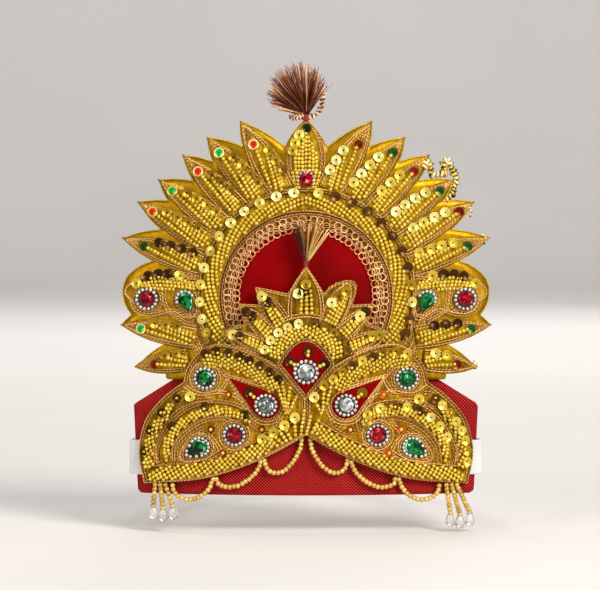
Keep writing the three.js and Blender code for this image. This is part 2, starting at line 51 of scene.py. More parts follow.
# x across, w out and z up, carried onto the bow: the face turns by asin(x / radius)
def onFan(x, w, z):
    x, w, z = np.broadcast_arrays(*(np.asarray(v, float) for v in (x, w, z)))
    turn = np.arcsin(x / form["radius"])
    reach = form["radius"] + w
    return np.stack([reach * np.sin(turn), form["faceY"] + form["radius"] - reach * np.cos(turn), z], -1)


# the same point, turned about the hem by the plaque's lean
def onPlaque(x, w, z):
    p = onFan(x, w, z)
    turn = np.radians(form["lean"])
    out, up = p[..., 1] - form["faceY"], p[..., 2] - form["hemZ"]
    y = form["faceY"] + out * np.cos(turn) - up * np.sin(turn)
    return np.stack([p[..., 0], y, form["hemZ"] + out * np.sin(turn) + up * np.cos(turn)], -1)


# a flat line of x and z, carried onto the bow or the plaque at the given height; side -1 mirrors it
def laid(place, line, w, side=1):
    line = np.asarray(line, float)
    return place(side * line[:, 0], w, line[:, 1])


# degrees from upright and a radius, round a centre on the middle line
def around(middleZ, angle, radius):
    turn = np.radians(angle)
    return np.stack([radius * np.sin(turn), middleZ + radius * np.cos(turn)], -1)


def unit(v):
    return v / np.maximum(np.linalg.norm(v, axis=-1, keepdims=True), 1e-9)


def fullTurn(count):
    return np.linspace(0, 2 * np.pi, count, endpoint=False)


# the length walked at each point of a polyline
def walked(line):
    return np.concatenate([[0], np.cumsum(np.linalg.norm(np.diff(line, axis=0), axis=1))])


# a polyline walked at even steps of its own length
def evenly(line, count):
    run = walked(line)
    at = np.linspace(0, run[-1], count)
    return np.stack([np.interp(at, run, line[:, k]) for k in range(line.shape[1])], -1)


def lengthOf(line):
    return np.linalg.norm(np.diff(line, axis=0), axis=1).sum()


# a Catmull-Rom curve through the points: four neighbours weigh in by cubics of the share between them
def smooth(points, count, between=24):
    p = np.asarray(points, float)
    p = np.vstack([2 * p[0] - p[1], p, 2 * p[-1] - p[-2]])
    t = np.linspace(0, 1, between, endpoint=False)[None, :, None]
    a, b, c, d = p[:-3, None], p[1:-2, None], p[2:-1, None], p[3:, None]
    q = b + 0.5 * ((c - a) * t + (2 * a - 5 * b + 4 * c - d) * t**2 + (3 * b - a - 3 * c + d) * t**3)
    return evenly(np.vstack([q.reshape(-1, p.shape[1]), p[-2:-1]]), count)


# a flat curve moved sideways by a distance along its own normal, which turns right of its way
def beside(line, distance):
    way = unit(np.gradient(line, axis=0))
    return line + np.stack([way[:, 1], -way[:, 0]], -1) * distance


# a closed outline of straight runs, with a step about every given length
def straightRuns(points, step):
    p = np.asarray(points, float)
    p = np.vstack([p, p[:1]])
    return evenly(p, int(lengthOf(p) / step))[:-1]


# the right half of an outline and its mirror image, which doesn't repeat the points on the middle line
def bothSides(right):
    right = np.asarray(right, float)
    mirror = right[right[:, 0] != 0] * [-1, 1]
    return np.vstack([right, mirror[::-1]])


# meshes: a part is its vertices, its quads, its triangles and a tone for each vertex
def gridFaces(rows, cols):
    r, c = np.arange(rows - 1)[:, None], np.arange(cols)[None]
    n = (c + 1) % cols
    return np.stack([r * cols + c, r * cols + n, (r + 1) * cols + n, (r + 1) * cols + c], -1).reshape(-1, 4)


# a fan of triangles from the first and the last ring to a middle point each, which follow the rings' points
def endFans(rows, cols):
    c = np.arange(cols)
    n = (c + 1) % cols
    first = np.stack([n, c, np.full(cols, rows * cols)], -1)
    last = np.stack([c, n, np.zeros(cols, int)], -1) + (rows - 1) * cols
    last[:, 2] = rows * cols + 1
    return np.vstack([first, last])


# faces are turned over where the signed volume, a sum of corner determinants, comes out negative
def facingOut(verts, quads, tris):
    corners = np.vstack([quads[:, :3], quads[:, [0, 2, 3]], tris])
    a, b, c = (verts[corners[:, k]] for k in range(3))
    inward = np.einsum("ij,ij->i", a, np.cross(b, c)).sum() < 0
    return (quads[:, ::-1], tris[:, ::-1]) if inward else (quads, tris)


# rings of points joined in turn, with a middle point to close each end
def lofted(rings):
    rows, cols, _ = rings.shape
    verts = np.vstack([rings.reshape(-1, 3), rings[0].mean(0), rings[-1].mean(0)])
    quads, tris = facingOut(verts, gridFaces(rows, cols), endFans(rows, cols))
    return verts, quads, tris, np.full(len(verts), 0.5)


# two axes square to a path at each of its points: the first is square to the given way too
def crossAxes(paths, ref=(0.0, -1.0, 0.0)):
    way = unit(np.gradient(paths, axis=-2))
    side = unit(np.cross(way, np.asarray(ref)))
    return side, np.cross(side, way)


# many tubes at once: a ring of the given radius stands across each point of each path
def tubes(paths, radius, sides, tones, ref=(0.0, -1.0, 0.0)):
    count, steps, _ = paths.shape
    side, up = crossAxes(paths, ref)
    turn = fullTurn(sides)
    radius = np.broadcast_to(np.asarray(radius, float), (count, steps))[..., None, None]
    spokes = np.cos(turn)[:, None] * side[:, :, None] + np.sin(turn)[:, None] * up[:, :, None]
    rings = paths[:, :, None] + radius * spokes
    verts = np.concatenate([rings.reshape(count, -1, 3), paths[:, :1], paths[:, -1:]], 1)
    shift = (np.arange(count) * (steps * sides + 2))[:, None, None]
    quads = (gridFaces(steps, sides)[None, :, ::-1] + shift).reshape(-1, 4)
    tris = (endFans(steps, sides)[None, :, [1, 0, 2]] + shift).reshape(-1, 3)
    return verts.reshape(-1, 3), quads, tris, np.repeat(np.broadcast_to(tones, count), steps * sides + 2)


# a profile of radius and height turned about z; a closed profile makes a ring, whose last row meets its first
def turned(profile, sides, closed=False):
    profile = np.asarray(profile, float)
    turn = fullTurn(sides)
    flat = profile[:, :1] * np.cos(turn), profile[:, :1] * np.sin(turn)
    rings = np.stack([*flat, profile[:, 1:] + 0 * turn], -1)
    if not closed:
        return lofted(rings)[:3]
    verts = rings.reshape(-1, 3)
    quads = gridFaces(len(profile) + 1, sides) % len(verts)
    return verts, *facingOut(verts, quads, np.zeros((0, 3), int))


# copies of one small shape: a centre plus the shape's point in the copy's own three axes
def copies(shape, centres, axes=None, sizes=1.0, tones=None):
    verts, quads, tris = shape
    count = len(centres)
    scaled = verts[None] * np.broadcast_to(np.asarray(sizes, float), count)[:, None, None]
    if axes is not None:
        scaled = np.einsum("nvk,nkj->nvj", scaled, axes)
    shift = (np.arange(count) * len(verts))[:, None, None]
    tones = draw.random(count) if tones is None else np.broadcast_to(tones, count)
    spread = (quads[None] + shift).reshape(-1, 4), (tris[None] + shift).reshape(-1, 3)
    return (centres[:, None] + scaled).reshape(-1, 3), *spread, np.repeat(tones, len(verts))


# three axes for each copy: across, up and the way that it faces
def axesFacing(ways):
    ways = unit(ways)
    across = unit(np.cross(np.array([0.0, 0.0, 1.0]), -ways))
    return np.stack([across, np.cross(ways, across), ways], 1)


# one object from its parts, put where the parts are, riding on the crown
def makePiece(name, parts, material, stands=(), flat=False):
    sizes = np.cumsum([0] + [len(p[0]) for p in parts])
    verts = np.vstack([p[0] for p in parts])
    quads = np.vstack([p[1] + s for p, s in zip(parts, sizes)])
    tris = np.vstack([p[2] + s for p, s in zip(parts, sizes)])
    mesh = bpy.data.meshes.new(name)
    mesh.vertices.add(len(verts))
    mesh.vertices.foreach_set("co", (verts * mm).astype(np.float32).ravel())
    corners = np.concatenate([quads.ravel(), tris.ravel()]).astype(np.int32)
    mesh.loops.add(len(corners))
    mesh.loops.foreach_set("vertex_index", corners)
    starts = np.concatenate([np.arange(len(quads)) * 4, quads.size + np.arange(len(tris)) * 3])
    mesh.polygons.add(len(starts))
    mesh.polygons.foreach_set("loop_start", starts.astype(np.int32))
    mesh.polygons.foreach_set("use_smooth", np.full(len(starts), not flat))
    mesh.update(calc_edges=True)
    tone = mesh.attributes.new("tone", "FLOAT", "POINT")
    tone.data.foreach_set("value", np.concatenate([p[3] for p in parts]).astype(np.float32))
    mesh.materials.append(material)
    piece = bpy.data.objects.new(name, mesh)
    bpy.context.scene.collection.objects.link(piece)
    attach(piece, "root")
    if stands:
        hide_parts(*stands)


# Materials
def shaderOf(name, **values):
    material = bpy.data.materials.new(name)
    material.use_nodes = True
    shader = material.node_tree.nodes["Principled BSDF"]
    for socket, value in values.items():
        shader.inputs[socket.replace("_", " ")].default_value = value
    return material, material.node_tree, shader


def addNode(tree, kind, links=None, **values):
    node = tree.nodes.new(kind)
    for key, value in values.items():
        if hasattr(node, key):
            setattr(node, key, value)
        else:
            node.inputs[key.replace("_", " ")].default_value = value
    for key, source in (links or {}).items():
        tree.links.new(source, node.inputs[key])
    return node


# the shader's colour, read from a ramp of stops: each is a place and a colour
def colourInto(tree, shader, source, stops):
    node = addNode(tree, "ShaderNodeValToRGB", {"Fac": source})
    for k, (place, colour) in enumerate(stops):
        stop = node.color_ramp.elements[k] if k < 2 else node.color_ramp.elements.new(place)
        stop.position, stop.color = place, (*colour, 1)
    tree.links.new(node.outputs["Color"], shader.inputs["Base Color"])


def objectPlace(tree, slant=0.0, stretch=(1.0, 1.0, 1.0)):
    links = {"Vector": addNode(tree, "ShaderNodeTexCoord").outputs["Object"]}
    return addNode(tree, "ShaderNodeMapping", links, Rotation=(0, slant, 0), Scale=stretch).outputs[0]


def noiseOf(tree, scale, detail=3.0, stretch=(1.0, 1.0, 1.0), slant=0.0):
    links = {"Vector": objectPlace(tree, slant, stretch)}
    return addNode(tree, "ShaderNodeTexNoise", links, Scale=scale, Detail=detail).outputs["Fac"]


def mathOf(tree, operation, *sources):
    node = addNode(tree, "ShaderNodeMath", operation=operation)
    for socket, source in zip(node.inputs, sources):
        if isinstance(source, float):
            socket.default_value = source
        else:
            tree.links.new(source, socket)
    return node.outputs[0]


# one source times its weight, plus another
def weighed(tree, source, weight, other):
    return mathOf(tree, "ADD", mathOf(tree, "MULTIPLY", source, weight), other)


def bumpInto(tree, shader, height, strength, distance):
    bump = addNode(tree, "ShaderNodeBump", {"Height": height}, Strength=strength, Distance=distance)
    tree.links.new(bump.outputs["Normal"], shader.inputs["Normal"])


# threads of a cloth: a sine wave along each axis, with the given pitch in metres
def threadWaves(tree, pitch, axes=("X", "Z"), slant=0.0):
    split = addNode(tree, "ShaderNodeSeparateXYZ", {"Vector": objectPlace(tree, slant)})
    angles = [mathOf(tree, "MULTIPLY", split.outputs[axis], 2 * np.pi / pitch) for axis in axes]
    return [mathOf(tree, "SINE", angle) for angle in angles]


def toneOf(tree):
    return addNode(tree, "ShaderNodeAttribute", attribute_name="tone").outputs["Fac"]


def toneMaterial(name, stops, **values):
    material, tree, shader = shaderOf(name, **values)
    colourInto(tree, shader, toneOf(tree), stops)
    return material


def beadFinish(name, stops):
    return toneMaterial(name, stops, Metallic=0.4, Roughness=0.29, Coat_Weight=0.12, Coat_Roughness=0.1)


# wound metal thread: each strand has its own tone, broken up by fine fibres
def cordFinish(name, stops, fibreScale=900.0, toneShare=0.8, fibreShare=0.3):
    material, tree, shader = shaderOf(name, Metallic=0.6, Roughness=0.32, Specular_Tint=(1, 0.75, 0.4, 1))
    fibre = noiseOf(tree, fibreScale)
    tone = weighed(tree, toneOf(tree), toneShare, mathOf(tree, "MULTIPLY", fibre, fibreShare))
    colourInto(tree, shader, tone, stops)
    bumpInto(tree, shader, fibre, strength=0.4, distance=0.0001)
    return material


def sequinFinish(name, stops):
    gloss = dict(Specular_Tint=(1, 0.8, 0.45, 1), Coat_Weight=0.05, Coat_Roughness=0.1)
    return toneMaterial(name, stops, Metallic=0.72, Roughness=0.34, **gloss)


# metal tissue: fine cross threads, crinkles, and slanted streaks from dull amber to yellow
tissue = dict(
    slant=0.5, streak=420.0, streakDetail=6.0, stretch=(1.0, 1.0, 0.28), thread=0.0006,
    crinkle=300.0, crinkleDetail=2.0, weaveShare=0.25, crinkleShare=2.2, roughness=(0.3, 0.2),
)


def tissueFinish(name, stops, relief):
    material, tree, shader = shaderOf(name, Metallic=0.7, Specular_Tint=(1, 0.75, 0.2, 1))
    streaks = noiseOf(tree, tissue["streak"], tissue["streakDetail"], tissue["stretch"], tissue["slant"])
    colourInto(tree, shader, streaks, stops)
    weave = mathOf(tree, "MULTIPLY", *threadWaves(tree, tissue["thread"], slant=tissue["slant"]))
    crinkle = noiseOf(tree, tissue["crinkle"], tissue["crinkleDetail"])
    crinkles = mathOf(tree, "MULTIPLY", crinkle, tissue["crinkleShare"])
    height = weighed(tree, weave, tissue["weaveShare"], crinkles)
    bumpInto(tree, shader, height, relief, distance=0.0005)
    tree.links.new(weighed(tree, crinkle, *tissue["roughness"]), shader.inputs["Roughness"])
    return material


# red satin: a smooth sheen with fine threads and faint pulls
def satinFinish(pullScale=38.0, thread=0.00045):
    material, tree, shader = shaderOf("red satin", Specular_IOR_Level=0.04)
    pull = noiseOf(tree, pullScale)
    colourInto(tree, shader, pull, [(0.3, (0.17, 0.0, 0.0005)), (0.7, (0.27, 0.0, 0.001))])
    threads = threadWaves(tree, thread, ("Z",))[0]
    bumpInto(tree, shader, weighed(tree, threads, weight=0.1, other=pull), strength=0.12, distance=0.0006)
    tree.links.new(weighed(tree, pull, weight=0.2, other=0.42), shader.inputs["Roughness"])
    return material


# red matt cloth: raised pale points where the threads of the weave cross, with some wear
def bandFinish(thread=0.0016, wearScale=90.0):
    material, tree, shader = shaderOf("red matt weave", Roughness=0.75, Specular_IOR_Level=0.06)
    points = mathOf(tree, "MULTIPLY", *threadWaves(tree, thread))
    stops = [(0.0, (0.18, 0.001, 0.001)), (0.45, (0.32, 0.007, 0.007)), (0.95, (0.56, 0.050, 0.050))]
    colourInto(tree, shader, weighed(tree, noiseOf(tree, wearScale), weight=0.5, other=points), stops)
    bumpInto(tree, shader, points, strength=0.5, distance=0.0003)
    return material


# white woven elastic: cross picks between the long ribs, with a little grime
def elasticFinish(pick=0.0009, grimeScale=70.0):
    material, tree, shader = shaderOf("white elastic", Roughness=0.7, Sheen_Weight=0.2)
    stops = [(0.3, (0.70, 0.70, 0.71)), (0.7, (0.78, 0.78, 0.79))]
    colourInto(tree, shader, noiseOf(tree, grimeScale), stops)
    picks = mathOf(tree, "ADD", *threadWaves(tree, pick, ("X", "Y")))
    bumpInto(tree, shader, picks, strength=0.35, distance=0.0003)
    return material


def threadFinish(name, stops):
    return toneMaterial(name, stops, Metallic=0.4, Roughness=0.36)


# a cut stone: each facet's tone is a painted reflection from dark to light, and the last few tones are painted
# glints
def stoneFinish(name, dark, light, glint):
    stops = [(0, dark), (0.84, light), (0.92, glint)]
    return toneMaterial(name, stops, Roughness=0.09, Specular_IOR_Level=0.2)


beadStops = [(0, (0.46, 0.27, 0.012)), (0.5, (0.73, 0.50, 0.036)), (1, (0.90, 0.70, 0.115))]
swagStops = [(0, (0.38, 0.24, 0.030)), (0.5, (0.70, 0.47, 0.105)), (1, (0.90, 0.68, 0.24))]
# Sequin and cup colours run from near black to pale, so their tones paint dark or bright reflections.
sequinStops = [
    (0, (0.028, 0.008, 0.001)), (0.17, (0.115, 0.045, 0.006)), (0.35, (0.33, 0.19, 0.006)),
    (0.7, (0.74, 0.55, 0.055)), (1, (0.96, 0.88, 0.34)),
]
redCupStops = [(0, (0.14, 0.002, 0.003)), (1, (0.80, 0.030, 0.014))]
greenCupStops = [(0, (0.001, 0.014, 0.006)), (1, (0.012, 0.50, 0.11))]
orangeCupStops = [(0, (0.10, 0.008, 0.004)), (1, (0.78, 0.08, 0.015))]
copperStops = [(0.20, (0.14, 0.045, 0.004)), (0.5, (0.62, 0.31, 0.060)), (0.78, (1.0, 0.70, 0.29))]
brightStops = [(0.15, (0.30, 0.17, 0.010)), (0.5, (0.80, 0.56, 0.06)), (0.85, (1.0, 0.88, 0.36))]
laceStops = [(0.20, (0.16, 0.050, 0.006)), (0.5, (0.60, 0.28, 0.080)), (0.85, (1.0, 0.66, 0.34))]
brushStops = [
    (0, (0.03, 0.003, 0.001)), (0.4, (0.26, 0.050, 0.010)), (0.7, (0.56, 0.20, 0.06)), (1, (1.0, 0.70, 0.40)),
]
wireStops = [
    (0, (0.08, 0.035, 0.003)), (0.4, (0.36, 0.24, 0.015)), (0.7, (0.86, 0.64, 0.10)), (1, (1.0, 0.90, 0.45)),
]
goldBrushStops = [
    (0, (0.06, 0.006, 0.010)), (0.35, (0.22, 0.05, 0.04)),
    (0.5, (0.55, 0.30, 0.04)), (0.85, (1.0, 0.80, 0.30)),
]
redThreadStops = [(0, (0.16, 0.006, 0.006)), (1, (0.38, 0.03, 0.015))]
silverStops = [(0, (0.45, 0.45, 0.44)), (1, (0.72, 0.72, 0.70))]
# The stone cups: near black, painted shade for the gaps round each stone and between its balls.
settingStops = [(0, (0.02, 0.012, 0.006)), (1, (0.05, 0.03, 0.012))]
dropStops = [(0, (0.80, 0.80, 0.76)), (1, (0.95, 0.95, 0.93))]
# Tissues: a name, how strong the relief is, then a dull, a middle and a bright colour, at three places of the
# ramp.
tissuePlaces = (0.30, 0.50, 0.70)
tissues = dict(
    tissue=("amber tissue", 0.6, (0.23, 0.112, 0.002), (0.37, 0.205, 0.006), (0.56, 0.365, 0.018)),
    lining=("amber lining", 0.2, (0.33, 0.17, 0.003), (0.40, 0.21, 0.004), (0.48, 0.27, 0.006)),
    wing=("dull amber tissue", 0.6, (0.15, 0.060, 0.001), (0.34, 0.165, 0.003), (0.60, 0.35, 0.008)),
    rolls=("shaded amber tissue", 0.6, (0.10, 0.040, 0.001), (0.25, 0.120, 0.003), (0.50, 0.285, 0.007)),
    plaque=("brown gold tissue", 0.6, (0.07, 0.026, 0.001), (0.19, 0.085, 0.002), (0.42, 0.23, 0.005)),
    net=("brown net", 0.6, (0.07, 0.014, 0.002), (0.17, 0.055, 0.006), (0.34, 0.14, 0.02)),
)
finish = dict(
    beads=beadFinish("pearl gold beads", beadStops),
    swagBeads=beadFinish("pale gold beads", swagStops),
    cord=cordFinish("copper gold cord", copperStops),
    brightCord=cordFinish("bright gold cord", brightStops),
    lace=cordFinish("rose gold lace thread", laceStops),
    sequin=sequinFinish("gold sequins", sequinStops),
    redCup=sequinFinish("red cups", redCupStops),
    greenCup=sequinFinish("green cups", greenCupStops),
    orangeCup=sequinFinish("orange cups", orangeCupStops),
    satin=satinFinish(),
    band=bandFinish(),
    elastic=elasticFinish(),
    brush=threadFinish("copper brush", brushStops),
    goldBrush=threadFinish("gold brush", goldBrushStops),
    redThread=threadFinish("red thread", redThreadStops),
    wire=toneMaterial("loose gold wire", wireStops, Metallic=0.75, Roughness=0.22),
    red=stoneFinish("red stone", (0.03, 0.0, 0.002), (0.50, 0.0, 0.016), (0.80, 0.20, 0.22)),
    green=stoneFinish("green stone", (0.0, 0.008, 0.002), (0.002, 0.27, 0.055), (0.36, 0.80, 0.50)),
    clear=stoneFinish("clear stone", (0.03, 0.04, 0.04), (0.66, 0.71, 0.70), (0.96, 0.98, 0.98)),
    silver=toneMaterial("silver balls", silverStops, Metallic=0.5, Roughness=0.16),
    setting=toneMaterial("dark setting", settingStops, Metallic=0.6, Roughness=0.4),
    drop=toneMaterial("clear drops", dropStops, Roughness=0.06, Transmission_Weight=0.72, IOR=1.45),
)
for key, (name, relief, *colours) in tissues.items():
    finish[key] = tissueFinish(name, list(zip(tissuePlaces, colours)), relief)
print("finishes made")

# Bead work: places are gathered by group and kind, and each kind in a group becomes one piece at the end.
bead = dict(radius=1.0, pitch=2.0, sides=8, rings=5, tone=(0.25, 0.85), jitter=0.06, sit=0.7, walk=60)
sequin = dict(
    radius=2.6, hole=0.3, lip=0.12, mid=1.7, rim=0.1, cup=0.55, thick=0.12, sides=16, holeShadeSides=8,
    turn=0.4, handTilt=0.06, forwards=(0.0, -1.0, 0.05),
)
# A near-black disc in each sequin's middle: painted shade for its hole and the thread in it.
holeShadeProfile = [(0.1, -0.1), (0.55, -0.05), (0.55, 0.1), (0.1, 0.16)]  # the dark hole in the middle of a sequin
cord = dict(
    strand=0.26, offset=0.21, pitch=1.9, step=0.38, leastSteps=8, sides=4,
    toneSpread=0.1, twistLight=0.17, walk=50,
)
# Tones that sequins are drawn from: painted reflections, dark for the dark room and bright for a lamp.
paintedReflection = dict(
    bright=(0.72, 1.0), gold=(0.5, 0.8), olive=(0.24, 0.44),
    brown=(0.07, 0.17), dark=(0.0, 0.07), mixed=(0.05, 0.85),
)
groups = {}


def gather(group, kind, *rows):
    groups.setdefault((group, kind), []).append(rows)


# how high a pad stands at a share of its half width: a flattened superellipse
pad = dict(power=2.4, root=0.6, rows=26, cols=15, flatCols=7, thick=0.02)


def crownOf(s):
    return np.clip(1 - np.abs(s) ** pad["power"], 0, 1) ** pad["root"]


# a strip is a padded band along a line: its crown is lower where it narrows, and the whole may slope, so that
# its left edge stands higher than its right
def stripOf(line, half, back, top, place, side=1, slope=0.0):
    line = np.asarray(line, float)
    half = np.broadcast_to(np.asarray(half, float), len(line))
    return dict(line=line, half=half, back=back, top=top, place=place, side=side, slope=slope)


def halfAt(strip, t):
    return np.interp(t, np.linspace(0, 1, len(strip["line"])), strip["half"])


# a point of a strip: t of the way along its line, s half widths to the right of it, and lifted off its face
def stripAt(strip, t, s, lift=0.0):
    t, s = np.broadcast_arrays(np.asarray(t, float), np.asarray(s, float))
    line, share = strip["line"], np.linspace(0, 1, len(strip["line"]))
    way = unit(np.gradient(line, axis=0))
    mid, ahead = (np.stack([np.interp(t, share, rows[:, k]) for k in (0, 1)], -1) for rows in (line, way))
    ahead = unit(ahead)
    half = halfAt(strip, t)
    crown = crownOf(s) * np.sqrt(half / strip["half"].max())
    x = mid[..., 0] + ahead[..., 1] * s * half
    z = mid[..., 1] - ahead[..., 0] * s * half
    w = strip["back"] + strip["top"] * crown - strip["slope"] * s * half + lift
    return strip["place"](strip["side"] * x, w, z)


# the way the strip's face looks: the cross product of its two slopes, turned to the front
def stripWay(strip, t, s, step=0.01):
    along = stripAt(strip, np.clip(t + step, 0, 1), s) - stripAt(strip, np.clip(t - step, 0, 1), s)
    over = stripAt(strip, t, s + step) - stripAt(strip, t, s - step)
    way = unit(np.cross(along, over))
    return way * np.where(way[..., 1:2] > 0, -1, 1)


# a pad is the strip's face closed by a flat underside, a little behind it
def padOf(strip, rows=pad["rows"], cols=pad["cols"], thick=pad["thick"]):
    t = np.linspace(0, 1, rows)[:, None]
    face = stripAt(strip, t, np.linspace(-1, 1, cols)[None])
    under = stripAt(dict(strip, top=0.0), t, np.linspace(1, -1, pad["flatCols"])[None], -thick)
    return lofted(np.concatenate([face, under], 1))


# beads strung along a run of places: as many as the run's length holds at the bead pitch
def stringBeads(group, run):
    count = max(2, int(round(lengthOf(run) / bead["pitch"])) + 1)
    gather(group, "beads", evenly(run, count) + draw.normal(0, bead["jitter"], (count, 3)))


def stringOn(group, strip, t, s):
    stringBeads(group, stripAt(strip, t, s, bead["sit"] * bead["radius"]))


# a straight string on a strip, from one pair of t and s to another
def beadsOn(group, strip, t, s):
    stringOn(group, strip, np.linspace(*t, bead["walk"]), np.linspace(*s, bead["walk"]))


# sequins on a strip face partly the way of its surface and mostly forwards
def putSequins(group, strip, t, s, tone, kind="sequins", lift=1.2, size=1.0, tilt=0.1):
    t, s = np.broadcast_arrays(np.atleast_1d(np.asarray(t, float)), np.asarray(s, float))
    ways = sequin["turn"] * stripWay(strip, t, s) + (1 - sequin["turn"]) * np.array(sequin["forwards"])
    ways = unit(ways + draw.normal(0, tilt, (len(t), 3)))
    gather(group, kind, stripAt(strip, t, s, lift), ways, np.full(len(t), size), draw.uniform(*tone, len(t)))


def sequinsAt(group, places, tone, kind="sequins", size=1.0):
    count = len(places)
    ways = unit(np.array(sequin["forwards"]) + draw.normal(0, sequin["handTilt"], (count, 3)))
    gather(group, kind, places, ways, np.full(count, size), draw.uniform(*tone, count))


# rows that lie aslant on a strip: each starts further along and drifts across to the other edge, and only what
# lies within a part of the strip is made; a sequin may sit at each start
slant = dict(least=0.04, sequinBack=0.012, sequinSize=0.92)


def slantedRows(group, strip, row, within):
    for start in row["starts"]:
        ends = [start, start + row["reach"]]
        t = np.clip(ends, *within)
        if abs(t[1] - t[0]) > slant["least"]:
            beadsOn(group, strip, t, np.interp(t, *zip(*sorted(zip(ends, row["drift"])))))


def slantedSequins(group, strip, row, tone, within, every=1, lift=1.2):
    shown = row["starts"][(row["starts"] >= within[0]) & (row["starts"] <= within[1])][::every]
    shown = shown - slant["sequinBack"] * np.sign(row["reach"])
    putSequins(group, strip, shown, row["sequinS"], tone, lift=lift, size=slant["sequinSize"])


def layCord(group, run, thick=1.0):
    gather(group, "cords", run, thick)


def cordOn(group, strip, t, s, lift=0.4, thick=1.0):
    layCord(group, stripAt(strip, t, s, lift), thick)


# a cord up one edge of a strip, over its tip and down the other
def cordRound(group, strip, s, tipT=0.985, baseT=0.0):
    up = np.linspace(baseT, tipT, cord["walk"])
    down = np.linspace(tipT, baseT, cord["walk"])
    cordOn(group, strip, np.concatenate([up, down]), np.repeat([s, -s], cord["walk"]))


# two strands wound about the cord's line: each stands off by its angle, which grows with the length
def twisted(run, thick, middle=0.5):
    count = max(cord["leastSteps"], int(lengthOf(run) / cord["step"]))
    run = evenly(run, count)
    side, up = crossAxes(run)
    anyTurn = draw.random() * 6.28
    angle = np.arange(count) * cord["step"] * 2 * np.pi / (cord["pitch"] * thick) + anyTurn
    angle = angle[None] + np.array([0, np.pi])[:, None]
    sway = np.cos(angle)[..., None] * side + np.sin(angle)[..., None] * up
    # one strand is painted lighter and the other darker: a painted highlight and shade along the twist
    tone = draw.normal(middle, cord["toneSpread"]) + cord["twistLight"] * np.array([-1, 1])
    paths = run[None] + thick * cord["offset"] * sway
    return tubes(paths, thick * cord["strand"], cord["sides"], np.clip(tone, 0, 1))


# a ball: a half circle turned about the line between its poles
def ballShape(sides, rings):
    angle = np.linspace(0, np.pi, rings + 1)[1:-1]
    verts, quads, tris = turned(np.stack([np.sin(angle), np.cos(angle)], -1), sides)
    verts[-2:] = [[0, 0, 1], [0, 0, -1]]
    return verts, quads, tris


# a cupped disc with a hole: the height grows with the square of the radius, and a close ring holds the rim
def sequinShape():
    hole, radius = sequin["hole"], sequin["radius"]
    r = np.array([hole, hole + sequin["lip"], sequin["mid"], radius - sequin["rim"], radius])
    h = sequin["cup"] * (r / radius) ** 2
    profile = np.vstack([np.stack([r, h], -1), np.stack([r, h - sequin["thick"]], -1)[::-1]])
    return turned(profile, sequin["sides"], closed=True)


beadShape = ballShape(bead["sides"], bead["rings"])
discShape = sequinShape()
holeShadeShape = turned(holeShadeProfile, sequin["holeShadeSides"])


def makeBeads(group):
    places = np.vstack([rows[0] for rows in groups[group, "beads"]])
    tone = draw.uniform(*bead["tone"], len(places))
    part = copies(beadShape, places, sizes=bead["radius"], tones=tone)
    makePiece(group + "_beads", [part], finish["beads"])
    return len(places)


def makeSequins(group, kind, material):
    rows = groups[group, kind]
    places, ways, sizes, tone = (np.concatenate([r[k] for r in rows]) for k in range(4))
    discs = copies(discShape, places, axesFacing(ways), sizes, tone)
    # Each sequin gets a disc at the lowest tone, near black: painted shade in its hole.
    holeShades = copies(holeShadeShape, places, axesFacing(ways), sizes, 0.0)
    makePiece(group + "_" + kind, [discs, holeShades], material)
    return len(places)


def makeCords(group, material):
    runs = groups[group, "cords"]
    makePiece(group + "_cords", [twisted(run, thick) for run, thick in runs], material)
    return sum(lengthOf(run) for run, _ in runs)


# a plate of one outline: rings drawn in to the middle on the front, over a rounded edge and in again behind
card = dict(inner=0.02, edge=0.35, lip=0.004)


def plateOf(outline, middle, back, front, place, rings):
    middle = np.asarray(middle)
    share = np.linspace(card["inner"], 1, rings)
    edge = card["edge"] * (front - back)
    drawnIn = 1 - card["lip"]
    shares = np.concatenate([share[:-1], [drawnIn, 1, 1, drawnIn], share[::-1][1:]])
    heights = np.concatenate([np.full(rings, front), [front - edge, back + edge], np.full(rings, back)])
    flat = middle + (outline - middle)[None] * shares[:, None, None]
    return lofted(place(flat[..., 0], heights[:, None], flat[..., 1]))


# running stitches: short threads at an even pitch along a flat line, each standing off behind by a half sine
stitch = dict(pitch=3.6, length=2.3, steps=5, rise=0.3, wire=0.22, sides=4, tone=(0.3, 0.9))


def stitchesOf(line, w):
    count = int(lengthOf(line) / stitch["pitch"])
    share = np.linspace(0, 1, stitch["steps"])[None]
    at = np.arange(count)[:, None] * stitch["pitch"] + stitch["length"] * share
    x, z = (np.interp(at, walked(line), line[:, k]) for k in (0, 1))
    paths = onFan(x, w - stitch["rise"] * np.sin(np.pi * share), z)
    return tubes(paths, stitch["wire"], stitch["sides"], draw.uniform(*stitch["tone"], count))


# Head band: an outline with sloping shoulders and rounded lower corners
band = dict(
    rimHalf=85.5, sideHalf=87.5, shoulder=45.0, topHalf=45.0, top=72.0, corner=2.5, cornerSteps=6,
    back=-2.0, front=0.0, seam=3.5, middle=(0, 36), step=2.5, rings=20,
)


def makeBand():
    turn = np.linspace(0, np.pi / 2, band["cornerSteps"])
    c = band["corner"]
    corner = np.stack([band["rimHalf"] - c + c * np.sin(turn), c - c * np.cos(turn)], -1)
    above = [(band["sideHalf"], band["shoulder"]), (band["topHalf"], band["top"])]
    outline = straightRuns(bothSides(np.vstack([corner, above])), band["step"])
    part = plateOf(outline, band["middle"], band["back"], band["front"], onFan, band["rings"])
    makePiece("band_cloth", [part], finish["band"], ["head_band"])
    inset = outline - unit(outline - band["middle"]) * band["seam"]
    makePiece("band_stitches", [stitchesOf(inset, band["back"])], finish["redThread"])


makeBand()
print("band made")

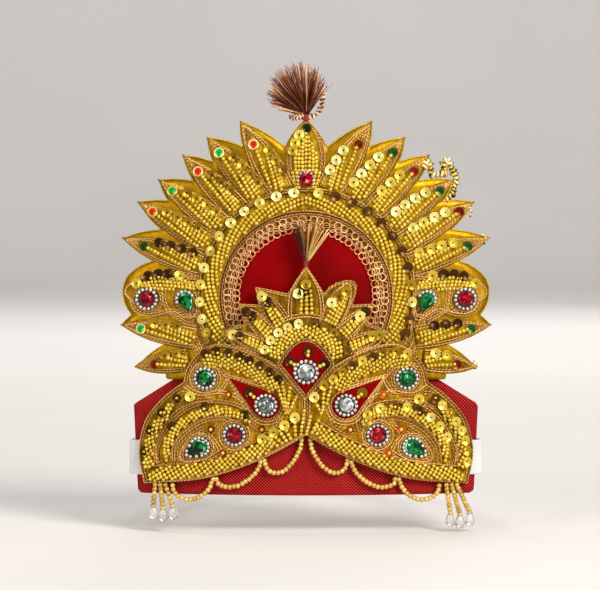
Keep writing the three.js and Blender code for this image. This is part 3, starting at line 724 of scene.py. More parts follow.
# Elastic strap: long ribs across its width, carried round the band's ends and the head. It leaves the end of
# the band by places given from there, and goes round the side of the head at angles in degrees.
strap = dict(
    width=17.5, thick=1.5, bottom=9.5, gap=0.3, sewnFrom=69.0, headHalf=78.5, back=97.0,
    ribs=10, ribDepth=0.13, edgeRate=30, edgeLeast=0.35, steps=260, ups=61,
    leaving=[(0.9, -0.2, 0), (1.0, 3.0, 0), (-0.6, 16.0, 0)], headAngles=[0, 22, 45, 68],
)


def strapRoute():
    sewnX = [strap["sewnFrom"], (strap["sewnFrom"] + band["rimHalf"]) / 2, band["rimHalf"]]
    sewn = onFan(sewnX, strap["gap"] + strap["thick"] / 2, 0)
    roundEnd = onFan(band["sideHalf"], 0, 0) + np.array(strap["leaving"])
    turn = np.radians(strap["headAngles"])
    roundHead = np.stack([strap["headHalf"] * np.cos(turn), strap["back"] * np.sin(turn), 0 * turn], -1)
    half = np.vstack([sewn, roundEnd, roundHead])[:, :2]
    return np.vstack([half, [(0, strap["back"])], (half * [-1, 1])[::-1]])


# half the thickness less a cosine of the ribs, thinner at both edges: up one face and down the other
def makeStrap():
    route = smooth(strapRoute(), strap["steps"])
    way = unit(np.gradient(route, axis=0))
    normal = np.stack([way[:, 1], -way[:, 0]], -1)
    up = np.linspace(0, 1, strap["ups"])
    rib = strap["thick"] / 2 - strap["ribDepth"] * (0.5 + 0.5 * np.cos(2 * np.pi * strap["ribs"] * up))
    rib *= np.clip(np.minimum(up, 1 - up) * strap["edgeRate"], strap["edgeLeast"], 1)
    off = np.concatenate([rib, -rib[::-1]])
    z = strap["bottom"] + strap["width"] * np.concatenate([up, up[::-1]])
    flat = route[:, None] + normal[:, None] * off[None, :, None]
    rings = np.concatenate([flat, np.broadcast_to(z[None, :, None], flat.shape[:2] + (1,))], -1)
    makePiece("elastic_webbing", [lofted(rings)], finish["elastic"], ["elastic_strap"])


makeStrap()
print("strap made")

# Set stones: a cut top with a flat table, inside a dark cup with a rim of silver balls; some rims leave a
# stretch bare, for so many degrees to each side of a drop's point or of a given angle. Levels are a radius in
# shares, a height and a turn in facets. The cup's points are a radius and a height; its dark colour is painted
# shade in the gaps round the stone. The power darkens the facets, and more so on the left as painted shade.
stone = dict(
    radius=3.85, facets=9, levels=[(0.96, 0.2, 0), (1.0, 1.0, 0), (0.82, 1.75, 0.5), (0.56, 2.6, 0)],
    balls=15, ballRadius=0.88, ballRing=4.95, ballRise=0.95, ballSides=10, ballRings=7, bareInset=0.88,
    cup=[(0.2, 0.0), (5.1, 0.0), (5.3, 0.3), (5.1, 0.6), (4.2, 0.7), (0.2, 0.7)], cupSides=36,
    power={-1: 2.2, 1: 1.3}, cordSteps=60,
)
drop = dict(width=0.82, narrowing=0.1, length=0.62)
# Cords are the radii of the rounds of cord about a stone.
stones = [
    dict(node="green_stone", at=(49.7, 59.3), place=onPlaque, seat=4.0, colour="green", cords=(6.3, 7.6)),
    dict(node="clear_stone", at=(19.6, 46.5), place=onPlaque, seat=5.3, colour="clear", cords=()),
    dict(node="red_stone", at=(35.3, 30.9), place=onPlaque, seat=4.0, colour="red", cords=(6.3, 7.6)),
    dict(node="green_drop", at=(52.4, 24.6), place=onPlaque, seat=4.0, colour="green", cords=(7.0, 8.3),
         point=-56, gem=1.2, ring=1.1),
    dict(node="lobe_red_stone", at=(78.4, 98.6), place=onFan, seat=5.0, colour="red", cords=(6.3, 7.4)),
    dict(node="lobe_green_drop", at=(59.4, 98.6), place=onFan, seat=5.0, colour="green", cords=(6.6, 7.9),
         point=24, bare=95, gem=1.14),
]
middleStones = [
    dict(node="crest_clear_stone", at=(0, 63.3), place=onPlaque, seat=5.3, colour="clear", scale=1.1),
    dict(node="top_red_stone", at=(0, 159), place=onFan, seat=5.4, colour="red", scale=0.76,
         gem=1.22, bare=78, bareAt=180),
]


# a circle about the stone; a drop is that circle drawn in across and drawn out on its pointed side by the
# square of the cosine, then turned
def roundStone(row, radius, turn):
    flat = row.get("scale", 1.0) * radius * np.stack([np.sin(turn), np.cos(turn)], -1)
    if "point" in row:
        lead = np.clip(np.cos(turn), 0, 1) ** 2
        across, along = drop["width"] - drop["narrowing"] * lead, drop["width"] + drop["length"] * lead
        drawn = flat * np.stack([across, along], -1)
        aim = np.radians(-row["point"])
        x = drawn[:, 0] * np.cos(aim) + drawn[:, 1] * np.sin(aim)
        flat = np.stack([x, drawn[:, 0] * np.sin(aim) - drawn[:, 1] * np.cos(aim)], -1)
    return np.asarray(row["at"]) + flat


def onStone(row, side, radius, w, turn):
    return laid(row["place"], roundStone(row, radius, turn), row["seat"] + w, side)


def makeStone(row, node, side):
    turn, facet = fullTurn(stone["facets"]), 2 * np.pi / stone["facets"]
    radius = stone["radius"] * row.get("gem", 1.0)
    rings = [onStone(row, side, radius * r, w, turn + a * facet) for r, w, a in stone["levels"]]
    verts, quads, tris, _ = lofted(np.stack(rings))
    split = np.vstack([quads[:, [0, 1, 2]], quads[:, [0, 2, 3]], tris])
    loose = verts[split].reshape(-1, 3)
    tone = np.repeat(draw.random(len(split)) ** stone["power"][side], 3)
    gem = loose, np.zeros((0, 4), int), np.arange(len(loose)).reshape(-1, 3), tone
    makePiece(f"gem_{node}", [gem], finish[row["colour"]], [node], flat=True)
    bare, ringSize = row.get("bare", 0), row.get("ring", 1.0)
    count = round(stone["balls"] * (1 - bare / 180))
    rim = row.get("bareAt", 0) + np.linspace(bare, 360 - bare, count, endpoint=bare > 0)
    balls = onStone(row, side, stone["ballRing"] * ringSize, stone["ballRise"], np.radians(rim))
    gather("stones", "balls", balls, np.full(count, row.get("scale", 1.0) * stone["ballRadius"]))
    inset, wall = stone["bareInset"] if bare else ringSize, fullTurn(stone["cupSides"])
    cup = [onStone(row, side, inset * r, w, wall) for r, w in stone["cup"]]
    gather("stones", "cups", lofted(np.stack(cup)))


# rounds of cord about the stones that sit on the fan or on the plaque
def cordStones(group, place, w, side):
    turn = np.linspace(0, 2 * np.pi, stone["cordSteps"])
    for row, radius in [(row, radius) for row in stones if row["place"] is place for radius in row["cords"]]:
        layCord(group, laid(place, roundStone(row, radius, turn), w, side))


def makeSettings():
    places, sizes = (np.concatenate([r[k] for r in groups["stones", "balls"]]) for k in range(2))
    balls = copies(ballShape(stone["ballSides"], stone["ballRings"]), places, sizes=sizes)
    makePiece("stone_balls", [balls], finish["silver"])
    makePiece("stone_cups", [r[0] for r in groups["stones", "cups"]], finish["setting"])


for row in stones:
    for hand, side in hands:
        makeStone(row, f"{row['node']}_{hand}", side)
for row in middleStones:
    makeStone(row, row["node"], 1)
makeSettings()
print("stones made")

# Fan: card covered in tissue, with a point for each ray and a round lobe at each side. Its edge is given by
# angle and radius, right side.
fanEdge = np.array([
    (0, 89.5), (8, 76), (20.3, 94), (22.5, 81.5), (31.6, 93.8), (34.3, 82), (40.8, 93.8), (44, 81),
    (51.4, 94), (55, 84), (60.5, 96.3), (65.2, 80), (72.4, 96.3), (77, 78.5), (80.5, 86), (84.5, 91),
    (88.8, 92.3), (93, 91), (96.3, 88), (99.2, 94), (109, 75), (113.2, 93), (118.5, 80), (121, 81.5),
])
fan = dict(
    hem=58.0, back=0.3, bulge=0.05, bulgeSteps=8, step=1.3, rings=16,
    satinRadius=41.0, satinSides=120, satinRings=20,
    seam=3.0, bandTop=75.0, cordFrom=66, cordIn=0.5, cordLift=0.2, cordThick=0.8,
)


# each straight run swells to its left by a share of its length, as the half wave of a sine
def bulged(points, share):
    run = np.diff(points, axis=0)
    at = np.linspace(0, 1, fan["bulgeSteps"], endpoint=False)[None, :, None]
    normal = np.stack([-run[:, 1], run[:, 0]], -1)[:, None]
    swell = points[:-1, None] + run[:, None] * at + normal * share * np.sin(np.pi * at)
    return np.vstack([swell.reshape(-1, 2), points[-1:]])


def fanOutline():
    right = around(form["fanMiddle"], fanEdge[:, 0], fanEdge[:, 1])
    right = np.vstack([right, [(right[-1, 0], fan["hem"])]])
    return straightRuns(bothSides(bulged(right, fan["bulge"])), fan["step"])


def makeFan():
    middle = (0, form["fanMiddle"])
    outline = fanOutline()
    board = plateOf(outline, middle, fan["back"], layer["board"], onFan, fan["rings"])
    makePiece("fan_tissue", [board], finish["lining"], ["fan_board"])
    turn = fullTurn(fan["satinSides"])
    disc = fan["satinRadius"] * np.stack([np.sin(turn), np.cos(turn)], -1) + middle
    satin = plateOf(disc, middle, layer["satinBack"], layer["satin"], onFan, fan["satinRings"])
    makePiece("satin_middle", [satin], finish["satin"], ["satin_disc"])
    start = np.argmin(outline[:, 1] + np.abs(outline[:, 0]))
    edging = np.roll(outline, -start, axis=0)
    edging = edging[edging[:, 1] > fan["cordFrom"]]
    way = unit(edging - middle)
    inset = laid(onFan, edging - way * fan["cordIn"], layer["board"] + fan["cordLift"])
    layCord("fan_edge", inset, fan["cordThick"])
    seam = edging - way * fan["seam"]
    seam = seam[seam[:, 1] > fan["bandTop"]]
    makePiece("fan_seam", [stitchesOf(seam, fan["back"])], finish["cord"])


makeFan()
print("fan made")

# Ring of beads: slanted rows that run down and in, most of them from a sequin at the outer edge. Places along
# it are in degrees from the top; cords are a place across the ring and a lift.
ring = dict(
    inner=41.8, outer=52.6, reach=128.0, top=1.7, steps=160, padRows=90,
    first=6.5, step=9.6, before=2, count=12, row=27.0, rowAfter=0.012, rowS=(-0.55, 0.58),
    sequins=11, ends=(110.4, 118.2), sequinS=-0.93, sequinLift=1.9,
    cords=((1.02, 0.45), (0.78, 0.45), (-1.1, 0.9), (-1.32, 1.3)), cordSteps=120,
)
# Painted reflections of the ring's sequins in turn, left and right.
ringReflections = dict(
    left=["bright"] * 11 + ["gold", "olive"],
    right=["bright"] + ["brown"] * 7 + ["olive", "gold", "brown", "brown", "gold"],
)
# Cords that fill the foot of the fan, outside the ring: their radii and the angles between which they run.
footCords = dict(radii=np.arange(55.5, 62.0, 1.2), angles=(97.0, 124.0), steps=30, lift=0.35)


def makeRing():
    pads = []
    angle = np.linspace(0, ring["reach"], ring["steps"])
    line = around(form["fanMiddle"], angle, (ring["inner"] + ring["outer"]) / 2)
    half = (ring["outer"] - ring["inner"]) / 2
    starts = (ring["first"] + ring["step"] * np.arange(-ring["before"], ring["count"])) / ring["reach"]
    spots = starts[ring["before"]:][:ring["sequins"]]
    spots = np.append(spots, np.array(ring["ends"]) / ring["reach"])
    reach = ring["row"] / ring["reach"]
    for hand, side in hands:
        strip = stripOf(line, half, layer["pad"], ring["top"], onFan, side)
        pads.append(padOf(strip, ring["padRows"]))
        for start in starts:
            t = np.clip([start + ring["rowAfter"], start + reach], 0, 1)
            beadsOn("ring", strip, t, np.interp(t, [start, start + reach], ring["rowS"]))
        for tone, start in zip(ringReflections[hand], spots):
            putSequins("ring", strip, start, ring["sequinS"], paintedReflection[tone], lift=ring["sequinLift"])
        for s, lift in ring["cords"]:
            cordOn("ring", strip, np.linspace(0, 1, ring["cordSteps"]), s, lift)
        for radius in footCords["radii"]:
            angle = np.linspace(*footCords["angles"], footCords["steps"])
            foot = around(form["fanMiddle"], angle, radius)
            layCord("ring", laid(onFan, foot, layer["board"] + footCords["lift"], side))
    makePiece("ring_pad", pads, finish["tissue"], ["bead_ring"])


makeRing()

# Lace: rows of wire rings that overlap and lean to and fro on a brown net, and a braid outside them. Rows are
# a radius and a number of rings.
lace = dict(
    rows=((34.4, 48), (36.6, 51), (38.8, 54)), reach=122.0, jitter=0.4, loop=1.8, lift=0.6, lean=0.4,
    wire=0.28, loopSteps=18, sides=4, tone=(0.35, 1.0), steps=300,
    braid=(40.5, 41.5), braidLift=0.25, braidThick=0.95, braidTone=0.44,
    net=(35.6, 41.8), netThick=0.15, netRows=120,
)


def makeLace():
    parts = []
    turn = np.linspace(0, 2 * np.pi, lace["loopSteps"])[None]
    for k, (radius, count) in enumerate(lace["rows"]):
        angle = np.linspace(-lace["reach"], lace["reach"], count)[:, None]
        angle = angle + (k % 2 - 0.5) * lace["reach"] / count + draw.normal(0, lace["jitter"], (count, 1))
        middle = around(form["fanMiddle"], angle[:, 0], radius)
        x, z = middle[:, :1] + lace["loop"] * np.sin(turn), middle[:, 1:] + lace["loop"] * np.cos(turn)
        toAndFro = np.pi * (np.arange(count)[:, None] % 2)
        w = layer["lace"] + lace["lift"] + lace["lean"] * np.sin(turn + np.radians(angle) + toAndFro)
        parts.append(tubes(onFan(x, w, z), lace["wire"], lace["sides"], draw.uniform(*lace["tone"], count)))
    angle = np.linspace(-lace["reach"], lace["reach"], lace["steps"])
    for radius in lace["braid"]:
        edge = laid(onFan, around(form["fanMiddle"], angle, radius), layer["lace"] + lace["braidLift"])
        parts.append(twisted(edge, lace["braidThick"], lace["braidTone"]))
    makePiece("lace_loops", parts, finish["lace"], ["lace_ring"])
    inner, outer = lace["net"]
    line = around(form["fanMiddle"], angle, (inner + outer) / 2)
    strip = stripOf(line, (outer - inner) / 2, layer["lace"], 0.0, onFan)
    net = padOf(strip, lace["netRows"], pad["flatCols"], lace["netThick"])
    makePiece("lace_net", [net], finish["net"])


makeLace()
print("ring and lace made")

# Each ray but the top one is a padded strip on a card leaf that slopes down to one side.
leaf = dict(thick=0.35, lift=0.45, slope=0.07, margin=1.8, beyond=2.5, padTop=0.9, baseIn=0.4, rows=30)
rayForm = dict(steps=40, leastHalf=0.3, flare=1.3, roundSteps=50, roundBase=0.7, roundSwell=0.3)
# Rays, as the solids have them, right side: base and tip by angle and radius, half width, waist, where the
# cup sits along it, the number of bead rows, the cups' colour, and for left and right how bright the sequins'
# painted reflections are and whether the cup is painted as catching the light.
rays = [
    dict(name="ray_1", base=(12.5, 54.8), tip=(20, 91.3), half=6.7, waist=0.82,
         cup=0.71, rows=5, colour="red", reflections=("olive", "bright"), lit=(1, 0)),
    dict(name="ray_2", base=(25, 54.8), tip=(31.3, 91.3), half=6.0, waist=0.84,
         cup=0.80, rows=5, colour="green", reflections=("olive", "bright"), lit=(1, 0)),
    dict(name="ray_3", base=(37.5, 54.8), tip=(40.6, 91.5), half=5.3, waist=0.86,
         cup=0.75, rows=4, colour="red", reflections=("olive", "gold"), lit=(1, 0)),
    dict(name="ray_4", base=(49.5, 54.8), tip=(51.3, 91.7), half=5.3, waist=0.86,
         cup=0.81, rows=5, colour="green", reflections=("olive", "bright"), lit=(1, 0)),
    dict(name="ray_5", base=(61, 54.8), tip=(60.5, 94), half=5.3, waist=0.86,
         cup=0.82, rows=5, colour="red", reflections=("olive", "bright"), lit=(1, 0)),
    dict(name="ray_6", base=(73, 54.8), tip=(72.3, 94), half=5.8, waist=0.82,
         cup=0.74, rows=5, colour="green", reflections=("dark", "gold"), lit=(0, 0)),
    dict(name="ray_7", base=(110.5, 58.5), tip=(99.4, 91.5), half=5.4, waist=0.82,
         cup=0.76, rows=5, colour="green", reflections=("olive", "dark"), lit=(1, 0)),
    dict(name="ray_8", base=(118.5, 66.5), tip=(113.1, 90.5), half=4.6, waist=0.86,
         cup=0.66, rows=4, colour="red", reflections=("olive", "gold"), lit=(0, 0)),
]
# Rows of beads on a ray: the first starts below the cup, the next ones lower by a step, and all end near the
# foot. Its cords are a place across and how near the tip they turn.
rayRows = dict(
    below=0.05, step=5.8, least=0.08, firstOff=0.3, upper=0.55, pitch=1.9, foot=0.02, footStep=0.05, walk=40,
    sequinUp=1.3, sequinOut=0.35, cords=((0.92, 0.985), (1.2, 0.99)),
)
# A tip cup: a sequin and a smaller coloured one on it, both set nearly straight. Pairs are for dull and lit.
tipCup = dict(
    s=0.05, underLift=0.9, tilt=0.02,
    under=("olive", "bright"), tones=((0.0, 0.18), (0.75, 1.0)), sizes=(0.8, 0.68),
)
hatch = dict(above=0.09, end=0.96, turns=5, steps=16, reach=0.8, lift=0.45, thick=0.85)
# The top ray: its rows, where each starts, the short rows at its foot, its sequins, cup and cords.
topRay = dict(
    base=(0, 54.8), tip=(0, 87.6), half=13.0, waist=0.4, top=1.5,
    rowHalf=0.66, rowStarts=(0.50, 0.62, 0.72, 0.82, 0.76, 0.66, 0.52), rowEnd=0.26, closing=0.9,
    footRows=(-0.9, -0.62, 0.62, 0.9), footTop=0.22, cup=(0.90, 0.10, "olive", (0.0, 0.02), "green", 0.8),
    sequins=([0.56, 0.68, 0.80], [-0.80, -0.74, -0.62]), sequinLift=1.3, cords=(1.0, 0.90, 1.12),
)
# Stitches behind the upper rays, to both sides of each, and round the ring.
rayStitches = dict(across=(-1.6, 1.6), points=34, upTo=80, ringReach=110, ringSteps=200)


# half width along a ray: it opens from the waist in a straight line, times 1 - t squared, a fall to a point
def rayHalf(row, t):
    return row["half"] * (1 - t**2) * (row["waist"] + (rayForm["flare"] - row["waist"]) * t)


# the straight line of a ray, from its base, let in by a little, to its tip or beyond
def rayLine(row, middleZ, t, baseIn=0.0, beyond=0.0):
    base, tip = (around(middleZ, *row[end]) for end in ("base", "tip"))
    way = unit(tip - base)
    base, tip = base - way * baseIn, tip + way * beyond
    return base + (tip - base) * t[:, None]


def rayStrip(row, side, middleZ, back, top, place, slope=0.0, baseIn=0.0):
    t = np.linspace(0, 1, rayForm["steps"])
    half = np.maximum(rayForm["leastHalf"], rayHalf(row, t))
    return stripOf(rayLine(row, middleZ, t, baseIn), half, back, top, place, side, slope)


# a round end: the half width falls as the root of 1 - t cubed, and swells in the middle by a sine
def roundStrip(row, side, middleZ, back, top, place):
    t = np.linspace(0, 1, rayForm["roundSteps"])
    swell = rayForm["roundBase"] + rayForm["roundSwell"] * np.sin(np.pi * t)
    half = np.maximum(rayForm["leastHalf"], row["half"] * np.sqrt(np.clip(1 - t**3, 0, 1)) * swell)
    return stripOf(rayLine(row, middleZ, t), half, back, top, place, side)


# a card leaf under the pad: the ray's half width and a margin that closes at the tip
def leafPart(row, side, back):
    t = np.linspace(0, 1, rayForm["steps"])
    half = np.maximum(rayForm["leastHalf"], rayHalf(row, t) + leaf["margin"] * (1 - t**4))
    line = rayLine(row, form["fanMiddle"], t, beyond=leaf["beyond"])
    strip = stripOf(line, half, back, 0.0, onFan, side, leaf["slope"])
    return padOf(strip, leaf["rows"], pad["flatCols"], leaf["thick"])


def putCup(group, strip, t, s, under, tone, colour, size):
    putSequins(group, strip, t, s, paintedReflection[under], lift=tipCup["underLift"], tilt=tipCup["tilt"])
    putSequins(group, strip, t, s, tone, colour + "Cups", size=size, tilt=tipCup["tilt"])


# a cord laid to and fro across a strip: a triangle wave over the given part of its length
def cordHatch(group, strip, fromT):
    share = np.linspace(0, 1, hatch["steps"] * hatch["turns"])
    wave = 2 * np.abs(2 * ((share * hatch["turns"]) % 1) - 1) - 1
    t = fromT + (hatch["end"] - fromT) * share
    cordOn(group, strip, t, hatch["reach"] * wave, hatch["lift"], hatch["thick"])


# rows start lower and lower down the upper edge, each after the first under its own sequin, and run side by
# side to the base
def dressRay(group, strip, row, tone, lit):
    length = lengthOf(strip["line"])
    for k in range(row["rows"]):
        start = row["cup"] - rayRows["below"] - rayRows["step"] * k / length
        if start < rayRows["least"]:
            break
        fromMiddle = (row["rows"] - 1) / 2 - k
        firstOff = rayRows["firstOff"] if k == 0 else -rayRows["upper"] * halfAt(strip, start)
        off = np.linspace(firstOff, rayRows["pitch"] * fromMiddle, rayRows["walk"])
        t = np.linspace(start, rayRows["foot"] + rayRows["footStep"] * abs(fromMiddle), rayRows["walk"])
        stringOn(group, strip, t, np.clip(off / halfAt(strip, t), -1, 1))
        if k > 0:
            s = off[0] / halfAt(strip, start) - rayRows["sequinOut"]
            putSequins(group, strip, start + rayRows["sequinUp"] / length, s, tone)
    under, cupTone, size = (tipCup[key][lit] for key in ("under", "tones", "sizes"))
    putCup(group, strip, row["cup"], tipCup["s"], under, cupTone, row["colour"], size)
    for s, tip in rayRows["cords"]:
        cordRound(group, strip, s, tip)
    cordHatch(group, strip, row["cup"] + hatch["above"])


def makeTopRay():
    strip = rayStrip(topRay, 1, form["fanMiddle"], layer["pad"], topRay["top"], onFan)
    makePiece("pad_ray_top", [padOf(strip)], finish["tissue"], ["ray_top"])
    spread = np.linspace(-topRay["rowHalf"], topRay["rowHalf"], len(topRay["rowStarts"]))
    for s, start in zip(spread, topRay["rowStarts"]):
        beadsOn("ring", strip, (start, topRay["rowEnd"]), (s * topRay["closing"], s))
    for s in topRay["footRows"]:
        beadsOn("ring", strip, (topRay["footTop"], 0.0), (s, s))
    putSequins("ring", strip, *topRay["sequins"], paintedReflection["gold"], lift=topRay["sequinLift"])
    putCup("ring", strip, *topRay["cup"])
    for s in topRay["cords"]:
        cordRound("ring", strip, s)


def makeRays():
    back = layer["pad"] + leaf["lift"] + leaf["thick"]
    bed = form["fanMiddle"], back, leaf["padTop"], onFan, leaf["slope"], leaf["baseIn"]
    stitched = []
    for k, (hand, side) in enumerate(hands):
        for row in rays:
            strip = rayStrip(row, side, *bed)
            node = f"{row['name']}_{hand}"
            parts = [leafPart(row, side, back), padOf(strip)]
            makePiece(f"pad_{node}", parts, finish["tissue"], [node])
            dressRay("rays_" + hand, strip, row, paintedReflection[row["reflections"][k]], row["lit"][k])
            if row["base"][0] < rayStitches["upTo"]:
                lines = [beside(strip["line"] * [side, 1], across) for across in rayStitches["across"]]
                stitched += [stitchesOf(line[:rayStitches["points"]], fan["back"]) for line in lines]
    angle = np.linspace(-rayStitches["ringReach"], rayStitches["ringReach"], rayStitches["ringSteps"])
    for radius in (ring["inner"], ring["outer"]):
        stitched.append(stitchesOf(around(form["fanMiddle"], angle, radius), fan["back"]))
    makePiece("ray_stitches", stitched, finish["cord"])
    makeTopRay()


makeRays()
print("rays made")

# Side lobes: rows over the upper half, a red stone and a green drop below, cords round both. Rows are a place
# across and a start and end along; sequins are a place along, a place across and a tone; cords are points.
# The lobes' sequin tones are painted reflections, dark for the dark room and gold for a lamp.
lobe = dict(
    base=(88.6, 54.8), tip=(88.6, 90.6), half=12.0, top=1.15, bed=layer["board"] + 1.55, padGrid=(40, 21),
    rowSpread=(1.05, 0.9),
    rows=[(-0.66, (0.62, 0.04)), (-0.50, (0.76, 0.02)), (-0.34, (0.84, 0.02)), (-0.18, (0.62, 0.30))],
    sequins=[(0.66, -0.84, "dark"), (0.52, -0.84, "dark"), (0.38, -0.84, "dark"),
             (0.22, -0.84, "gold"), (0.82, -0.62, "gold")],
    edgeCords=(1.0, 0.91, 0.82), edgeTip=0.99, cordsBeside=(0, 1.2), cordSteps=60,
    cords=[
        [(54, 109), (62, 108), (68.5, 104.5), (69.6, 98), (66.5, 92), (60, 88)],
        [(54, 90), (60, 89.5), (66, 92.5), (72, 90.8), (79, 90), (85, 92.5), (87.6, 98)],
    ],
)


def makeLobes():
    for hand, side in hands:
        group = "rays_" + hand
        strip = roundStrip(lobe, side, form["fanMiddle"], layer["pad"], lobe["top"], onFan)
        part = padOf(strip, *lobe["padGrid"])
        makePiece(f"pad_lobe_{hand}", [part], finish["tissue"], [f"lobe_{hand}"])
        for s, run in lobe["rows"]:
            beadsOn(group, strip, run, [s * spread for spread in lobe["rowSpread"]])
        for t, s, tone in lobe["sequins"]:
            putSequins(group, strip, t, s, paintedReflection[tone])
        for s in lobe["edgeCords"]:
            cordRound(group, strip, s, lobe["edgeTip"])
        cordStones(group, onFan, lobe["bed"], side)
        for through in lobe["cords"]:
            for step in lobe["cordsBeside"]:
                line = beside(smooth(through, lobe["cordSteps"]), -step)
                layCord(group, laid(onFan, line, lobe["bed"], side))


makeLobes()
print("lobes made")

# Crest: a pointed plate with padded petals, and an arch of bead rows over its red window. Its edge is given
# by angle and radius, and its right half has a rounded petal instead of the first pointed one.
crestEdge = np.array([
    (0, 50.5), (13.9, 37.5), (32.2, 46.8), (36.2, 38.1), (47.2, 45.6), (55.1, 37), (67.6, 44.6), (73.6, 37.6),
    (74.6, 29.2), (78, 21), (86.5, 14.6), (145, 10.7), (180, 15.3),
])
crest = dict(
    top=1.5, step=1.0, rings=12, edgeFrom=72, edgeCords=(0.4, 1.5), edgeLift=0.35, cordBase=0.1,
    bridge=[(0, 30.9), (2.4, 30.2), (2.4, 46), (0, 50)],
    bridgeMiddle=(0, 40), bridgeLifts=(-0.1, 0.25), bridgeRings=6,
)
# Petals: rows are a place across and a start along; sequins are a place along, a place across and a tone. The
# small petals have two sequins each, whose tones are given for left and right; the first has no right one.
# The petals' sequin tones are painted reflections.
middlePetal = dict(
    base=(0, 20), tip=(0, 48.6), half=11.0, waist=0.7, foot=0.24, closing=0.9,
    cords=(0.98, 0.82), cordTip=0.985, rows=[(-0.28, 0.52), (0.02, 0.60), (0.32, 0.62)],
    sequins=[(0.74, 0.0, "olive"), (0.62, -0.16, "dark"), (0.58, -0.50, "bright")],
)
roundPetal = dict(
    edge=[(16.1, 41.4), (20.3, 44.9), (25.2, 47.6), (29, 48.7), (31.7, 47.4), (33.9, 43.4)],
    base=(28, 20), tip=(27, 46.6), half=6.0, foot=0.2, closing=0.8, cords=(0.88, 1.02), cordTip=0.97,
    rows=[(0.52, 0.78), (0.2, 0.72), (-0.12, 0.6), (-0.42, 0.46)],
    sequins=[(0.84, 0.05, "olive"), (0.70, -0.42, "olive"), (0.54, -0.66, "bright")],
)
petals = [
    dict(base=(30, 20), tip=(31.8, 45), half=5.2, waist=0.7, left=("bright", "dark")),
    dict(base=(48.5, 20), tip=(47, 43.8), half=4.5, waist=0.7, left=("dark", "dark"),
         right=("dark", "bright")),
    dict(base=(65, 20), tip=(66.5, 42.6), half=4.0, waist=0.7, left=("bright", "dark"),
         right=("olive", "olive")),
]
petalRows = dict(
    across=(0.5, 0.0, -0.5), closing=(0.3, 1.0, 1.0), start=0.78, step=0.15, foot=0.2, cords=(0.95, 1.25),
    sequinUp=0.06, sequinDraw=0.3, sequinOut=0.25,
)
# The arch: the rows on its left and its right half run down from the top; its cords are a place and a lift.
arch = dict(
    radius=17.3, half=3.9, reach=72.0, steps=90, padRows=60, sequinLift=2.0,
    cords=((1.1, 0.45), (-1.95, 1.7), (-2.3, 1.7)), cordSteps=100,
)
# The arch's sequins are painted bright on the left and dull on the right, a painted reflection.
archRows = [
    dict(starts=np.arange(0.72, 0.0, -0.1), reach=-0.33, drift=(-0.75, 0.9), sequinS=-1.15,
         tone=paintedReflection["bright"], within=(0.0, 0.5)),
    dict(starts=np.arange(0.28, 1.0, 0.1), reach=0.33, drift=(-0.75, 0.9), sequinS=-1.15,
         tone=(0.05, 0.4), within=(0.5, 1.0)),
]
crestWindow = dict(
    foot=52.0, half=12.0, shoulder=67.0, top=78.2, domeSteps=14, middle=(0, 65), rings=10,
    cords=(0.5, 1.7), cordLift=0.1, cordSteps=140,
)
# Sequins on the window, each with two beads on the way to the stone.
crestDrops = dict(at=[(1.2, 74.2), (-7.9, 68.4), (9.0, 67.2)], lift=0.2, beads=[[0.6], [2.5]], beadLift=1.1)


def dressPetal(strip, tones):
    for n, s in enumerate(petalRows["across"]):
        start = petalRows["start"] - petalRows["step"] * n
        beadsOn("crest", strip, (start, petalRows["foot"]), (s * petalRows["closing"][n], s))
        if n < len(tones):
            sequinS = s * petalRows["sequinDraw"] - petalRows["sequinOut"]
            putSequins("crest", strip, start + petalRows["sequinUp"], sequinS, paintedReflection[tones[n]])
    for s in petalRows["cords"]:
        cordRound("crest", strip, s, baseT=crest["cordBase"])


def dressLargePetal(strip, row):
    for s, start in row["rows"]:
        beadsOn("crest", strip, (start, row["foot"]), (s * row["closing"], s))
    for t, s, tone in row["sequins"]:
        putSequins("crest", strip, t, s, paintedReflection[tone])
    for s in row["cords"]:
        cordRound("crest", strip, s, row["cordTip"], crest["cordBase"])


# the window's outline: straight to its shoulders, then a parabola over the top
def crestWindowOutline():
    share = np.linspace(0, 1, crestWindow["domeSteps"])[:, None]
    half, summit = crestWindow["half"], crestWindow["top"]
    shoulder, bend, top = np.array([(half, crestWindow["shoulder"]), (half / 2, summit), (0, summit)])
    dome = shoulder * (1 - share) ** 2 + 2 * bend * share * (1 - share) + top * share**2
    return bothSides(np.vstack([[(0, crestWindow["foot"])], dome]))


def makePetals():
    bed = form["crestMiddle"], layer["plaque"], crest["top"], onPlaque
    strips = [rayStrip(middlePetal, 1, *bed)]
    dressLargePetal(strips[0], middlePetal)
    for row in petals:
        for hand, side in hands:
            if hand in row:
                strips.append(rayStrip(row, side, *bed))
                dressPetal(strips[-1], row[hand])
            else:
                strips.append(roundStrip(roundPetal, side, *bed))
                dressLargePetal(strips[-1], roundPetal)
    return [padOf(strip) for strip in strips]


def makeArch():
    angle = np.linspace(-arch["reach"], arch["reach"], arch["steps"])
    line = around(form["crestMiddle"], angle, arch["radius"])
    strip = stripOf(line, arch["half"], layer["plaque"], crest["top"], onPlaque)
    for row in archRows:
        slantedRows("crest", strip, row, row["within"])
        slantedSequins("crest", strip, row, row["tone"], row["within"], lift=arch["sequinLift"])
    for s, lift in arch["cords"]:
        cordOn("crest", strip, np.linspace(0, 1, arch["cordSteps"]), s, lift)
    return padOf(strip, arch["padRows"])


